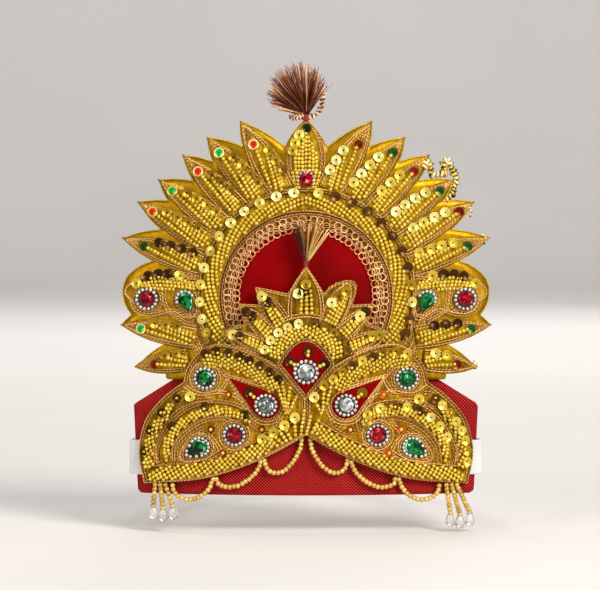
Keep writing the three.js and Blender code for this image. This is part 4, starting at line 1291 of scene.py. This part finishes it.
def makeCrestWindow():
    pane = crestWindowOutline()
    outline, heights = straightRuns(pane, crest["step"]), (layer["windowBack"], layer["window"])
    plate = plateOf(outline, crestWindow["middle"], *heights, onPlaque, crestWindow["rings"])
    makePiece("crest_satin", [plate], finish["satin"], ["crest_window"])
    loop = evenly(np.vstack([pane, pane[:1]]), crestWindow["cordSteps"])
    for out in crestWindow["cords"]:
        layCord("crest", laid(onPlaque, beside(loop, out), layer["window"] + crestWindow["cordLift"]))
    sequinsAt("crest", laid(onPlaque, crestDrops["at"], layer["window"] + crestDrops["lift"]), paintedReflection["dark"])
    for place in np.array(crestDrops["at"]):
        run = place + unit(np.array(middleStones[0]["at"]) - place) * np.array(crestDrops["beads"])
        gather("crest", "beads", laid(onPlaque, run, layer["window"] + crestDrops["beadLift"]))


def makeCrest():
    middle = (0, form["crestMiddle"])
    right = np.vstack([crestEdge[:2], roundPetal["edge"], crestEdge[3:]])
    edge = np.vstack([right, (crestEdge[1:-1] * [-1, 1])[::-1]])
    outline = straightRuns(around(form["crestMiddle"], edge[:, 0], edge[:, 1]), crest["step"])
    parts = [plateOf(outline, middle, layer["plaqueBack"], layer["plaque"], onPlaque, crest["rings"])]
    parts += makePetals()
    parts.append(makeArch())
    bridge = straightRuns(bothSides(crest["bridge"]), crest["step"])
    heights = [layer["plaque"] + lift for lift in crest["bridgeLifts"]]
    parts.append(plateOf(bridge, crest["bridgeMiddle"], *heights, onPlaque, crest["bridgeRings"]))
    edging = outline[outline[:, 1] > crest["edgeFrom"]]
    gap = np.argmax(np.linalg.norm(np.diff(edging, axis=0), axis=1))
    edging = np.roll(edging, len(edging) - 1 - gap, axis=0)
    for inset in crest["edgeCords"]:
        line = edging - unit(edging - middle) * inset
        layCord("crest", laid(onPlaque, line, layer["plaque"] + crest["edgeLift"]))
    makePiece("crest_tissue", parts, finish["plaque"], ["crest"])
    makeCrestWindow()


makeCrest()
print("crest made")

# Wings: a plate with the outline of the solid, padded rolls under the bead rows, and cords round every shape
wingHem = [(0.3, 31), (14.5, 22.7), (28, 16.2), (42, 10.9), (57, 7.3), (80.5, 4.8)]
wingSide = [(80.5, 4.8), (83, 21), (79.5, 37.3), (70, 49.5), (60.5, 57)]
wingTop = [(60.5, 57), (58.3, 65), (52.5, 72), (42, 76), (28, 72.4), (14.5, 65.4), (6, 56), (0.3, 49.5)]
wing = dict(
    middle=(42, 38), top=1.5, bed=layer["plaque"] + 0.35, rings=14, hemSteps=70, sideSteps=60, topSteps=80,
    rollSteps=90, padRows=60, rollCordSteps=80, rollCordLift=0.45, cordSteps=110, step=1.3,
    edgeCords=(0.3, 1.6), topFrom=18, topOut=0.55, topLift=0.25,
)
rolls = dict(
    arm=dict(half=3.9, through=[(50, 69.5), (42, 71.2), (33, 68.6), (24, 64.8), (15, 58.2), (7.8, 48)]),
    hem=dict(half=3.5, through=[(3, 35), (22, 24.3), (46, 14.6), (77, 9.2)]),
    edge=dict(half=3.0, through=[(79, 13.5), (79, 22), (76.2, 32), (70, 41.5), (63, 48.6)]),
    leaf=dict(half=2.7, through=[
        (70.5, 17.5), (69.3, 25), (64, 34), (54.5, 41.2), (43, 44), (34, 41.8), (28, 37.4),
    ]),
)
# Rows on each roll: where they start, how far each reaches, how it drifts across, and the part of the roll
# that has rows, left and right. Their sequins: the place across, and how many rows there are to each, left
# and right; the hem has none.
rollRows = dict(
    arm=dict(starts=np.arange(-0.28, 0.92, 0.105), reach=0.34, drift=(0.25, -1.4),
             within=((0, 0.8), (0, 0.8)), sequinS=0.55, every=(1, 1)),
    hem=dict(starts=np.arange(-0.12, 0.99, 0.055), reach=0.16, drift=(-0.85, 0.85),
             within=((0.19, 1), (0.02, 1))),
    edge=dict(starts=np.arange(1.0, 0.02, -0.135), reach=-0.30, drift=(0.25, -1.0),
              within=((0, 1), (0, 1)), sequinS=0.1, every=(2, 1)),
    leaf=dict(starts=np.arange(1.02, 0.12, -0.105), reach=-0.23, drift=(0.40, -0.95),
              within=((0, 1), (0, 1)), sequinS=0.7, every=(3, 1)),
)
# Painted reflections of the rolls' sequins, left and right.
rollReflections = ("dark", "mixed")
wingWindow = dict(
    middle=(19.6, 46.3), radius=6.6, tip=(37.5, 59.6), steps=26,
    paneMiddle=(22.5, 48.5), paneStep=0.9, rings=10, cords=(0.6, 1.8, 3.4), cordLift=0.1, cordSteps=140,
)
# Cords along the rolls, by their places across.
rollCords = dict(hem=(-1.2, 1.12), edge=(-1.25,), leaf=(-1.25,))
# Cords on a wing: how many lie side by side, to the right of their way or, below zero, to the left, and the
# points that the first runs through.
wingCords = [
    (-3, [(61, 11.2), (70.5, 12.0), (74.6, 17.5), (73.3, 26), (67.3, 36.8), (57, 45.3), (44, 48.4), (32, 46),
          (25.2, 39.5), (26, 32.5)]),
    (-2, [(66.2, 16.5), (65.8, 24), (60.6, 31.4), (52.4, 37.4), (43, 40.0), (35.6, 38.4)]),
    (-3, [(63.4, 17.0), (63.0, 23.4), (58.3, 29.8), (50.8, 35.0)]),
    (2, [(60.5, 54.6), (53, 50.6), (43, 51.8), (36, 50.4), (29.5, 46.8)]),
    (2, [(57.5, 52.6), (63.5, 51.0), (71.6, 42.6), (75.2, 34.4), (75.8, 24), (75.2, 15)]),
    (2, [(39.2, 59.2), (41.8, 54.6), (45.5, 52.6)]),
    (2, [(39, 61.2), (42.4, 65.4), (47.6, 67.4), (53.6, 66.6), (57, 62)]),
    (-3, [(41, 20.8), (48, 16.4), (57, 13.2), (66, 12.6)]),
    (-2, [(27.6, 27), (33, 22.8), (40, 19.6)]),
    (2, [(12.6, 41), (14.2, 36.8), (19, 33.6), (25, 33.4)]),
    (-2, [(46, 47.6), (54, 47.2), (61, 44.4), (66.6, 40.2)]),
    (2, [(43.6, 36.8), (47.8, 30.6), (44.4, 25.6), (41.4, 19.6)]),
]
# Cups on a wing, each with a bead on it, and which of them catch the light on the left and on the right.
wingCups = dict(
    at=[(38, 51.4), (46.7, 33.6), (21.7, 34.0), (40.8, 21.8)], lit=((0, 0, 0, 0), (1, 1, 0, 1)),
    tones=((0.0, 0.3), (0.7, 1.0)), size=0.72, lift=1.3, beadLift=1.9,
)
wingSequins = dict(at=([(62.6, 48.7), (57.0, 49.9)], [(55.5, 48.8), (35.2, 43.6), (29.8, 38.0)]), lift=1.6)
# A sequin and two beads that lead from the window's point to its stone; the sequin's tones are painted
# reflections.
windowLead = dict(
    sequin=[(27.6, 52.6)], lift=0.2, reflections=("dark", "olive"),
    beads=[(27.0, 51.9), (25.5, 50.6)], beadLift=1.2,
)
# Short rows listed one by one where the wings meet: the ends of the arms, and the fan on the point of the hem.
centreRows = [
    ((-14.2, 57.5), (-9.9, 42.5)), ((-11.6, 57.8), (-9.7, 46.0)), ((-7.8, 55.0), (-9.2, 44.0)),
    ((-4.8, 50.5), (-8.6, 42.6)), ((12.6, 57.5), (10.2, 47.5)), ((8.8, 54.3), (8.2, 44.0)),
    ((4.6, 48.4), (7.4, 42.4)), ((-5.5, 39.2), (-5.2, 31.6)), ((-0.8, 43.5), (-2.5, 31.8)),
    ((2.2, 40.5), (0.2, 32.0)), ((6.0, 38.5), (3.0, 33.0)), ((-10.5, 35.2), (-7.6, 29.8)),
    ((-12.9, 33.4), (-9.6, 28.6)), ((-16.0, 31.4), (-11.8, 27.4)), ((-18.3, 30.0), (-14.0, 26.2)),
]
# Sequins in the middle, by painted reflection tone.
centreSequins = dict(
    gold=[(-5.5, 40.2), (-10.6, 36.2), (-16.0, 32.6), (-21.5, 29.2)],
    bright=[(4.0, 50.5)], olive=[(8.8, 56.5)],
)
centre = dict(beadSit=0.9, sequinLift=1.3, walk=40)


# a round bowl and a point: tangents from the tip meet the circle where cos(spread) = radius / reach
def windowOutline():
    middle, tip = np.array(wingWindow["middle"]), np.array(wingWindow["tip"])
    aim = np.arctan2(*(tip - middle)[::-1])
    spread = np.arccos(wingWindow["radius"] / np.linalg.norm(tip - middle))
    turn = np.linspace(aim + spread, aim + 2 * np.pi - spread, wingWindow["steps"])
    bowl = middle + wingWindow["radius"] * np.stack([np.cos(turn), np.sin(turn)], -1)
    return np.vstack([bowl, [tip]])


def wingOutline():
    hem, outer = smooth(wingHem, wing["hemSteps"]), smooth(wingSide, wing["sideSteps"])
    return np.vstack([hem[:-1], outer[:-1], smooth(wingTop, wing["topSteps"])])


def layWingCords(group, side, strips):
    def lay(line, lift=0.0):
        layCord(group, laid(onPlaque, line, wing["bed"] + lift, side))

    outline = wingOutline()
    edgeLine = np.vstack([outline, outline[:1]])
    for inset in wing["edgeCords"]:
        lay(beside(edgeLine, -inset))
    topLine = smooth(wingTop, wing["topSteps"])[wing["topFrom"]:]
    lay(beside(topLine, wing["topOut"]), wing["topLift"])
    frameLine = np.vstack([windowOutline(), windowOutline()[:1]])
    for out in wingWindow["cords"]:
        lay(evenly(beside(frameLine, out), wingWindow["cordSteps"]), wingWindow["cordLift"])
    for lines, through in wingCords:
        for k in range(abs(lines)):
            lay(beside(smooth(through, wing["cordSteps"]), wing["step"] * k * np.sign(lines)))
    cordStones(group, onPlaque, wing["bed"], side)
    for name, offsets in rollCords.items():
        for s in offsets:
            cordOn(group, strips[name], np.linspace(0, 1, wing["rollCordSteps"]), s, wing["rollCordLift"])


def makeWing(hand, side, k):
    def onWing(points, base, lift):
        return laid(onPlaque, points, layer[base] + lift, side)

    group, mirror = "wing_" + hand, np.array([side, 1])
    strips, pads = {}, []
    for name, roll in rolls.items():
        line = smooth(roll["through"], wing["rollSteps"])
        strip = strips[name] = stripOf(line, roll["half"], layer["plaque"], wing["top"], onPlaque, side)
        pads.append(padOf(strip, wing["padRows"]))
        row = rollRows[name]
        slantedRows(group, strip, row, row["within"][k])
        if "sequinS" in row:
            slantedSequins(group, strip, row, paintedReflection[rollReflections[k]], row["within"][k], row["every"][k])
    heights = layer["plaqueBack"], layer["plaque"]
    plate = plateOf(wingOutline() * mirror, wing["middle"] * mirror, *heights, onPlaque, wing["rings"])
    makePiece(f"wing_tissue_{hand}", [plate], finish["wing"], [f"wing_{hand}"])
    makePiece(f"wing_rolls_{hand}", pads, finish["rolls"])
    layWingCords(group, side, strips)
    for place, lit in zip(onWing(wingCups["at"], "plaque", wingCups["lift"]), wingCups["lit"][k]):
        sequinsAt(group, place[None], wingCups["tones"][lit], "orangeCups", wingCups["size"])
    gather(group, "beads", onWing(wingCups["at"], "plaque", wingCups["beadLift"]))
    outline = straightRuns(windowOutline() * mirror, wingWindow["paneStep"])
    heights = layer["windowBack"], layer["window"]
    pane = plateOf(outline, wingWindow["paneMiddle"] * mirror, *heights, onPlaque, wingWindow["rings"])
    makePiece(f"wing_satin_{hand}", [pane], finish["satin"], [f"window_{hand}"])
    lead = onWing(windowLead["sequin"], "window", windowLead["lift"])
    sequinsAt(group, lead, paintedReflection[windowLead["reflections"][k]])
    gather(group, "beads", onWing(windowLead["beads"], "window", windowLead["beadLift"]))
    sequinsAt(group, onWing(wingSequins["at"][k], "plaque", wingSequins["lift"]), paintedReflection["gold"])
    return strips


wingStrips = [makeWing(hand, side, k) for k, (hand, side) in enumerate(hands)]


# how high the arms and hems stand at flat points: each roll's crown, by the distance from its line in half
# widths
def rollHeight(points):
    highest = np.zeros(len(points))
    for strip in (strips[name] for strips in wingStrips for name in ("arm", "hem")):
        line = strip["line"] * [strip["side"], 1]
        off = np.linalg.norm(points[:, None] - line[None], axis=-1).min(1) / strip["half"].max()
        highest = np.maximum(highest, strip["top"] * crownOf(off))
    return layer["plaque"] + highest


def makeCentre():
    for ends in centreRows:
        run = evenly(np.array(ends), centre["walk"])
        stringBeads("crest", laid(onPlaque, run, rollHeight(run) + centre["beadSit"] * bead["radius"]))
    for tone, spots in centreSequins.items():
        spots = np.array(spots)
        sequinsAt("crest", laid(onPlaque, spots, rollHeight(spots) + centre["sequinLift"]), paintedReflection[tone])


makeCentre()
print("wings made")

# Swags: one string of beads along each hem, caught up between loops that fall by the square root of a sine.
# Loops are the places across where they start and end, and how far they fall.
swag = dict(
    loops=[(2.2, 20.5, 10.5), (22.6, 44.5, 7.5), (46.6, 66.5, 8.6)], below=1.6, steps=40, hemSteps=200,
    pitch=2.08, beadRadius=1.32, jitter=0.07, tone=(0.3, 0.8),
    thread=0.2, threadSteps=160, threadSides=5, threadTone=0.3,
)
# Bead tassels: strings that spread as they fall and bow out a little, each ended by a drop, whose profile is
# a radius and a height.
tassel = dict(
    topX=72.6, topSpread=5.2, below=0.8, foot=dict(left=(71.0, -6.0), right=(76.6, -9.5)), footSpread=9.8,
    footOut=1.0, bow=0.6, strings=3, steps=20, pitch=1.95, beadRadius=1.36, tone=(0.1, 0.65), dropSides=12,
    drop=[
        (0.15, 1.0), (1.0, 0.7), (1.5, -0.8), (2.15, -2.4), (2.55, -4.1), (2.25, -5.7),
        (1.2, -6.6), (0.15, -6.8),
    ],
)


def hemAt(x):
    line = smooth(wingHem, swag["hemSteps"])
    return np.interp(x, line[:, 0], line[:, 1])


def makeSwag(hand, side):
    runs = []
    share = np.linspace(0, 1, swag["steps"])
    for fromX, toX, fall in swag["loops"]:
        top = hemAt(fromX) + (hemAt(toX) - hemAt(fromX)) * share - swag["below"]
        z = top - fall * np.sqrt(np.clip(np.sin(np.pi * share), 0, 1))
        runs.append(onFan(side * (fromX + (toX - fromX) * share), layer["string"], z))
    run = np.vstack(runs)
    places = evenly(run, int(lengthOf(run) / swag["pitch"]))
    places += draw.normal(0, swag["jitter"], places.shape)
    tone = draw.uniform(*swag["tone"], len(places))
    beads = copies(beadShape, places, sizes=swag["beadRadius"], tones=tone)
    path = evenly(run, swag["threadSteps"])[None]
    thread = tubes(path, swag["thread"], swag["threadSides"], swag["threadTone"])
    makePiece(f"swag_{hand}", [beads, thread], finish["swagBeads"], [f"bead_swag_{hand}"])


# a string is the straight line from its top to its foot, bowed to the front by a half sine; the middle one
# hangs a millimetre lower
def makeBeadTassel(hand, side):
    strings, drops, share = [], [], np.linspace(0, 1, tassel["steps"])[:, None]
    dropShape = turned(tassel["drop"], tassel["dropSides"])
    footX, footZ = tassel["foot"][hand]
    for k, offset in enumerate(np.linspace(-0.5, 0.5, tassel["strings"])):
        topX = tassel["topX"] + offset * tassel["topSpread"]
        top = onFan(side * topX, layer["string"], hemAt(tassel["topX"]) - tassel["below"])
        spreadX = footX + offset * tassel["footSpread"]
        foot = onFan(side * spreadX, layer["string"] + tassel["footOut"], footZ - k % 2)
        run = top + (foot - top) * share + np.array([0, -tassel["bow"], 0]) * np.sin(np.pi * share)
        places = evenly(run, int(lengthOf(run) / tassel["pitch"]) + 1)
        tone = draw.uniform(*tassel["tone"], len(places))
        strings.append(copies(beadShape, places, sizes=tassel["beadRadius"], tones=tone))
        drops.append(copies(dropShape, foot[None]))
    makePiece(f"tassel_strings_{hand}", strings, finish["swagBeads"], [f"bead_tassel_{hand}"])
    makePiece(f"tassel_drops_{hand}", drops, finish["drop"])


for hand, side in hands:
    makeSwag(hand, side)
    makeBeadTassel(hand, side)
print("swags and bead tassels made")

# Thread tassels: strands leave a bound neck, fan out by their lean and bend a little on the way. Pairs are
# for the left and the right.
topBrush = dict(
    root=(0.0, layer["board"], 189.8 + 1.0), strands=340, leans=(-80.0, 36.0), length=27.4,
    shorter=(0.5, 0.28), power=(3.0, 0.7), rootShade=0.5, neck=1.5, wire=0.25, bend=1.0, depth=11.0,
    locks=26, sorted=0.0,
)
crestBrush = dict(
    root=(0.0, layer["plaque"], 116.0 + 1.2), strands=46, leans=(-20.0, 37.0), length=22.0,
    shorter=(0.15, 0.1), power=(3.0, 3.0), rootShade=0.0, neck=0.7, wire=0.42, bend=0.5, depth=8.0,
    locks=16, sorted=0.52,
)
# What all strands share: their spread, lengths, start on the neck, taper, and how their tones mix and take
# painted shade.
strand = dict(
    spread=(1.05, 1.15), lengths=(0.8, 1.0), start=0.6, steps=9, taper=0.35, sides=3, ref=(0.3, -1.0, 0.2),
    mix=0.75, mixLess=0.32, shadeBelow=0.6,
)
# Windings: the foot of the neck that each is wound on, its radius, height, turns and wire.
topWinding = dict(foot=(0.0, layer["board"], 189.8 - 1.4), radius=1.6, height=2.8, turns=6, wire=0.36)
crestWinding = dict(foot=(0.0, layer["plaque"], 116.0), radius=1.1, height=3.0, turns=7, wire=0.3)
winding = dict(stepsPerTurn=16, sides=6, tone=0.6, ref=(0.0, 0.0, 1.0))
# Loose ends of wire that have curled into springs: the places that each runs through, as x, w and z, its
# turns, the radius of its coil and its wire.
curls = [
    dict(through=[(-1.4, 2.3, 190.4), (-4.5, 3.4, 189.3), (-8.4, 2.8, 190.0)], turns=5, coil=0.85, wire=0.50),
    dict(through=[(-1.2, 2.3, 191.3), (-4.4, 1.6, 191.4), (-7.2, 2.3, 193.4)], turns=4, coil=0.80, wire=0.46),
    dict(through=[(1.4, 2.3, 190.0), (5.0, 3.0, 191.0), (7.5, 2.6, 195.4), (8.6, 2.2, 201.6)],
         turns=7, coil=0.95, wire=0.52),
]
looseWires = [
    dict(through=[(58.5, 3.4, 164.5), (60, 2.8, 168.3), (62, 2.2, 165), (62.6, 1.8, 161.5), (66, 2.0, 161.5),
                  (69.5, 1.4, 162.5), (68.6, 2.2, 166.5), (70.8, 1.6, 169), (72.4, 1.2, 166),
                  (73.8, 1.0, 163), (75.4, 1.4, 158.8), (74.3, 0.9, 155), (73.2, 1.2, 151.5),
                  (69.2, 1.6, 148)],
         turns=25, coil=1.2, wire=0.82),
    dict(through=[(80.8, 3.0, 145.2), (82.4, 2.6, 142.6), (81.4, 3.0, 139.8)], turns=3, coil=0.7, wire=0.34),
    dict(through=[(88.2, 3.0, 131.4), (90.0, 2.6, 128.4), (88.6, 3.0, 125.8)], turns=3, coil=0.7, wire=0.34),
    dict(through=[(83.0, 3.0, 67.0), (85.0, 2.6, 65.2), (84.2, 3.0, 63.0)], turns=3, coil=0.7, wire=0.34),
]
# How a spring's coil and its painted light vary with its turn: the size and the rate of each wave.
spring = dict(
    stepsPerTurn=22, sides=5, coilWave=(0.35, 0.37), turnHighlight=0.4, turnShift=0.6, glintWave=(0.3, 0.17),
)


# strands leave the neck at a lean and are shorter the further they lean, by a power of it; neighbours share a
# tone, and painted shade darkens it towards the root, while the tips are painted lighter
def brushOf(brush, place):
    n = brush["strands"]
    low, high = brush["leans"]
    across = draw.beta(*strand["spread"], n)
    lean = low + (high - low) * across
    far = np.where(lean < 0, lean / low, lean / high)
    fall = np.where(lean < 0, *brush["shorter"]) * far ** np.where(lean < 0, *brush["power"])
    length = draw.uniform(*strand["lengths"], n) * brush["length"] * (1 - fall)
    lean, tilt = np.radians(lean), np.radians(draw.normal(0, brush["depth"], n))
    share = np.linspace(0, 1, strand["steps"])[None]
    start = draw.uniform(-1, 1, (2, n, 1)) * brush["neck"] * strand["start"]
    bend = draw.normal(0, brush["bend"], (2, n, 1)) * share**2
    x = brush["root"][0] + start[0] + np.sin(lean)[:, None] * length[:, None] * share + bend[0]
    w = brush["root"][1] + start[1] + np.sin(tilt)[:, None] * length[:, None] * share + bend[1]
    z = brush["root"][2] + (np.cos(lean) * length)[:, None] * share
    lock = np.interp(across, np.linspace(0, 1, brush["locks"]), draw.random(brush["locks"]))
    loose = np.clip(strand["mix"] * (lock + draw.random(n)) - strand["mixLess"], 0, 1)
    tone = brush["sorted"] * across + (1 - brush["sorted"]) * loose
    wire = brush["wire"] * (1 - strand["taper"] * share)
    verts, quads, tris, tone = tubes(place(x, w, z), wire, strand["sides"], tone, strand["ref"])
    along = np.tile(np.append(np.repeat(share[0], strand["sides"]), (0, 1)), n)
    return verts, quads, tris, np.clip(tone + brush["rootShade"] * (along - strand["shadeBelow"]), 0, 1)


# thread wound round a neck: a helix with a little more radius than the neck
def windingOf(row, place):
    turn = np.linspace(0, 2 * np.pi * row["turns"], row["turns"] * winding["stepsPerTurn"])
    x, w, z = row["foot"]
    x, w = x + row["radius"] * np.cos(turn), w + row["radius"] * np.sin(turn)
    path = place(x, w, z + row["height"] * turn / turn[-1])
    return tubes(path[None], row["wire"], winding["sides"], winding["tone"], winding["ref"])


# a spring: the wire stands off from its line by the coil, turning with the length, with a painted highlight on
# one side of each turn and painted shade on the other, and a slow wave of painted glints, dull for a stretch
def springOf(row):
    line = onFan(*smooth(row["through"], spring["stepsPerTurn"] * row["turns"]).T)
    side, up = crossAxes(line)
    turn = np.linspace(0, 2 * np.pi * row["turns"], len(line))
    size, rate = spring["coilWave"]
    coil = row["coil"] * (1 + size * np.sin(rate * turn))[:, None]
    line = line + coil * (np.cos(turn)[:, None] * side + np.sin(turn)[:, None] * up)
    verts, quads, tris, _ = tubes(line[None], row["wire"], spring["sides"], 0.5)
    size, rate = spring["glintWave"]
    tone = 0.5 + spring["turnHighlight"] * np.sin(turn + spring["turnShift"]) + size * np.sin(rate * turn)
    tone = np.clip(tone, 0, 1)
    return verts, quads, tris, np.append(np.repeat(tone, spring["sides"]), tone[[0, -1]])


topThreads = [brushOf(topBrush, onFan), *map(springOf, curls)]
makePiece("top_brush", topThreads, finish["brush"], ["thread_tassel_top"])
makePiece("top_winding", [windingOf(topWinding, onFan)], finish["redThread"])
crestThreads = [brushOf(crestBrush, onPlaque)]
makePiece("crest_brush", crestThreads, finish["goldBrush"], ["thread_tassel_crest"])
makePiece("crest_winding", [windingOf(crestWinding, onPlaque)], finish["redThread"])
makePiece("loose_wire", list(map(springOf, looseWires)), finish["wire"])
print("thread tassels made")

# The gathered bead work, group by group
slots = dict(redCups="red_stone", greenCups="green_stone", orangeCups="red_stone", sequins="bead_work")
for group, kind in sorted(groups):
    if kind == "beads":
        print(group, "beads:", makeBeads(group))
    elif kind in slots:
        print(group, kind, makeSequins(group, kind, finish[kind[:-1]]))
    elif kind == "cords":
        cordMaterial = finish["brightCord" if group == "fan_edge" else "cord"]
        print(group, "cord, mm:", round(makeCords(group, cordMaterial)))

# Stage: a wide pale floor with a wall far behind, soft light from the right, and a straight view
stage = dict(floorZ=-0.0190, front=-6.0, back=3.6, wall=3.6, bend=1.2, bendSteps=20, half=6.0, mottle=2.0)
floorStops = [(0.3, (0.70, 0.68, 0.67)), (0.7, (0.74, 0.72, 0.71))]
view = dict(aim=(-0.003, -0.096, 0.101), distance=1.6, elevation=2.0, span=0.300, sensor=36.0)
skyLight = dict(colour=(0.85, 0.83, 0.82, 1), strength=0.2)
lights = [
    dict(name="keyRight", at=(1.40, -2.00, 1.50), size=1.2, power=76.0, colour=(1.0, 0.96, 0.90)),
    dict(name="fillLeft", at=(-1.90, -1.70, 0.80), size=1.4, power=22.0, colour=(1.0, 0.95, 0.88)),
    dict(name="topSoft", at=(-0.20, -0.10, 2.30), size=1.8, power=27.0, colour=(1.0, 0.98, 0.95)),
    dict(name="backSoft", at=(0.60, 2.30, 1.30), size=1.6, power=12.0, colour=(1.0, 0.97, 0.94)),
    dict(name="wallWash", at=(0.0, 1.40, 2.60), size=2.0, power=60.0, colour=(1.0, 0.98, 0.96),
         aim=(0.0, 4.6, 1.1)),
]


# the sweep's profile: a flat floor, a quarter circle and an upright wall, carried straight across
def makeStage():
    angle, bend = np.linspace(0, np.pi / 2, stage["bendSteps"]), stage["bend"]
    y = np.concatenate([[stage["front"]], stage["back"] + bend * np.sin(angle), [stage["back"] + bend]])
    z = np.concatenate([[0], bend * (1 - np.cos(angle)), [stage["wall"]]]) + stage["floorZ"]
    edges = [np.stack([np.full_like(y, x), y, z], -1) for x in (-stage["half"], stage["half"])]
    n = len(y)
    k = np.arange(n - 1)
    faces = np.stack([k, k + n, k + n + 1, k + 1], -1)
    mesh = bpy.data.meshes.new("pale_sweep")
    mesh.from_pydata(np.vstack(edges).tolist(), [], faces.tolist())
    mesh.polygons.foreach_set("use_smooth", np.ones(len(faces), bool))
    material, tree, shader = shaderOf("pale floor", Roughness=0.85)
    colourInto(tree, shader, noiseOf(tree, stage["mottle"]), floorStops)
    mesh.materials.append(material)
    sweep = bpy.data.objects.new("pale_sweep", mesh)
    bpy.context.scene.collection.objects.link(sweep)


# a light or a camera at a place, turned and tipped to look at its aim
def aimAt(holder, place, target):
    way = np.asarray(target) - np.asarray(place)
    holder.location = place
    yaw, pitch = np.arctan2(-way[0], way[1]), np.arctan2(way[2], np.hypot(way[0], way[1]))
    holder.rotation_euler = (np.pi / 2 + pitch, 0, yaw)
    bpy.context.scene.collection.objects.link(holder)


def makeLights():
    for row in lights:
        lamp = bpy.data.lights.new(row["name"], "AREA")
        lamp.shape, lamp.size, lamp.energy, lamp.color = "DISK", row["size"], row["power"], row["colour"]
        aimAt(bpy.data.objects.new(row["name"], lamp), row["at"], row.get("aim", view["aim"]))
    world = bpy.context.scene.world or bpy.data.worlds.new("studio")
    bpy.context.scene.world = world
    world.use_nodes = True
    sky = world.node_tree.nodes["Background"]
    sky.inputs["Color"].default_value = skyLight["colour"]
    sky.inputs["Strength"].default_value = skyLight["strength"]


def makeCamera():
    lens = bpy.data.cameras.new("straightView")
    lens.sensor_width = view["sensor"]
    lens.lens = view["sensor"] * view["distance"] / view["span"]
    rise = np.radians(view["elevation"])
    back = np.array([0, -np.cos(rise), np.sin(rise)]) * view["distance"]
    holder = bpy.data.objects.new("straightView", lens)
    aimAt(holder, np.array(view["aim"]) + back, view["aim"])
    bpy.context.scene.camera = holder
    bpy.context.scene.view_settings.view_transform = "Standard"


makeStage()
makeLights()
makeCamera()
print("stage made")
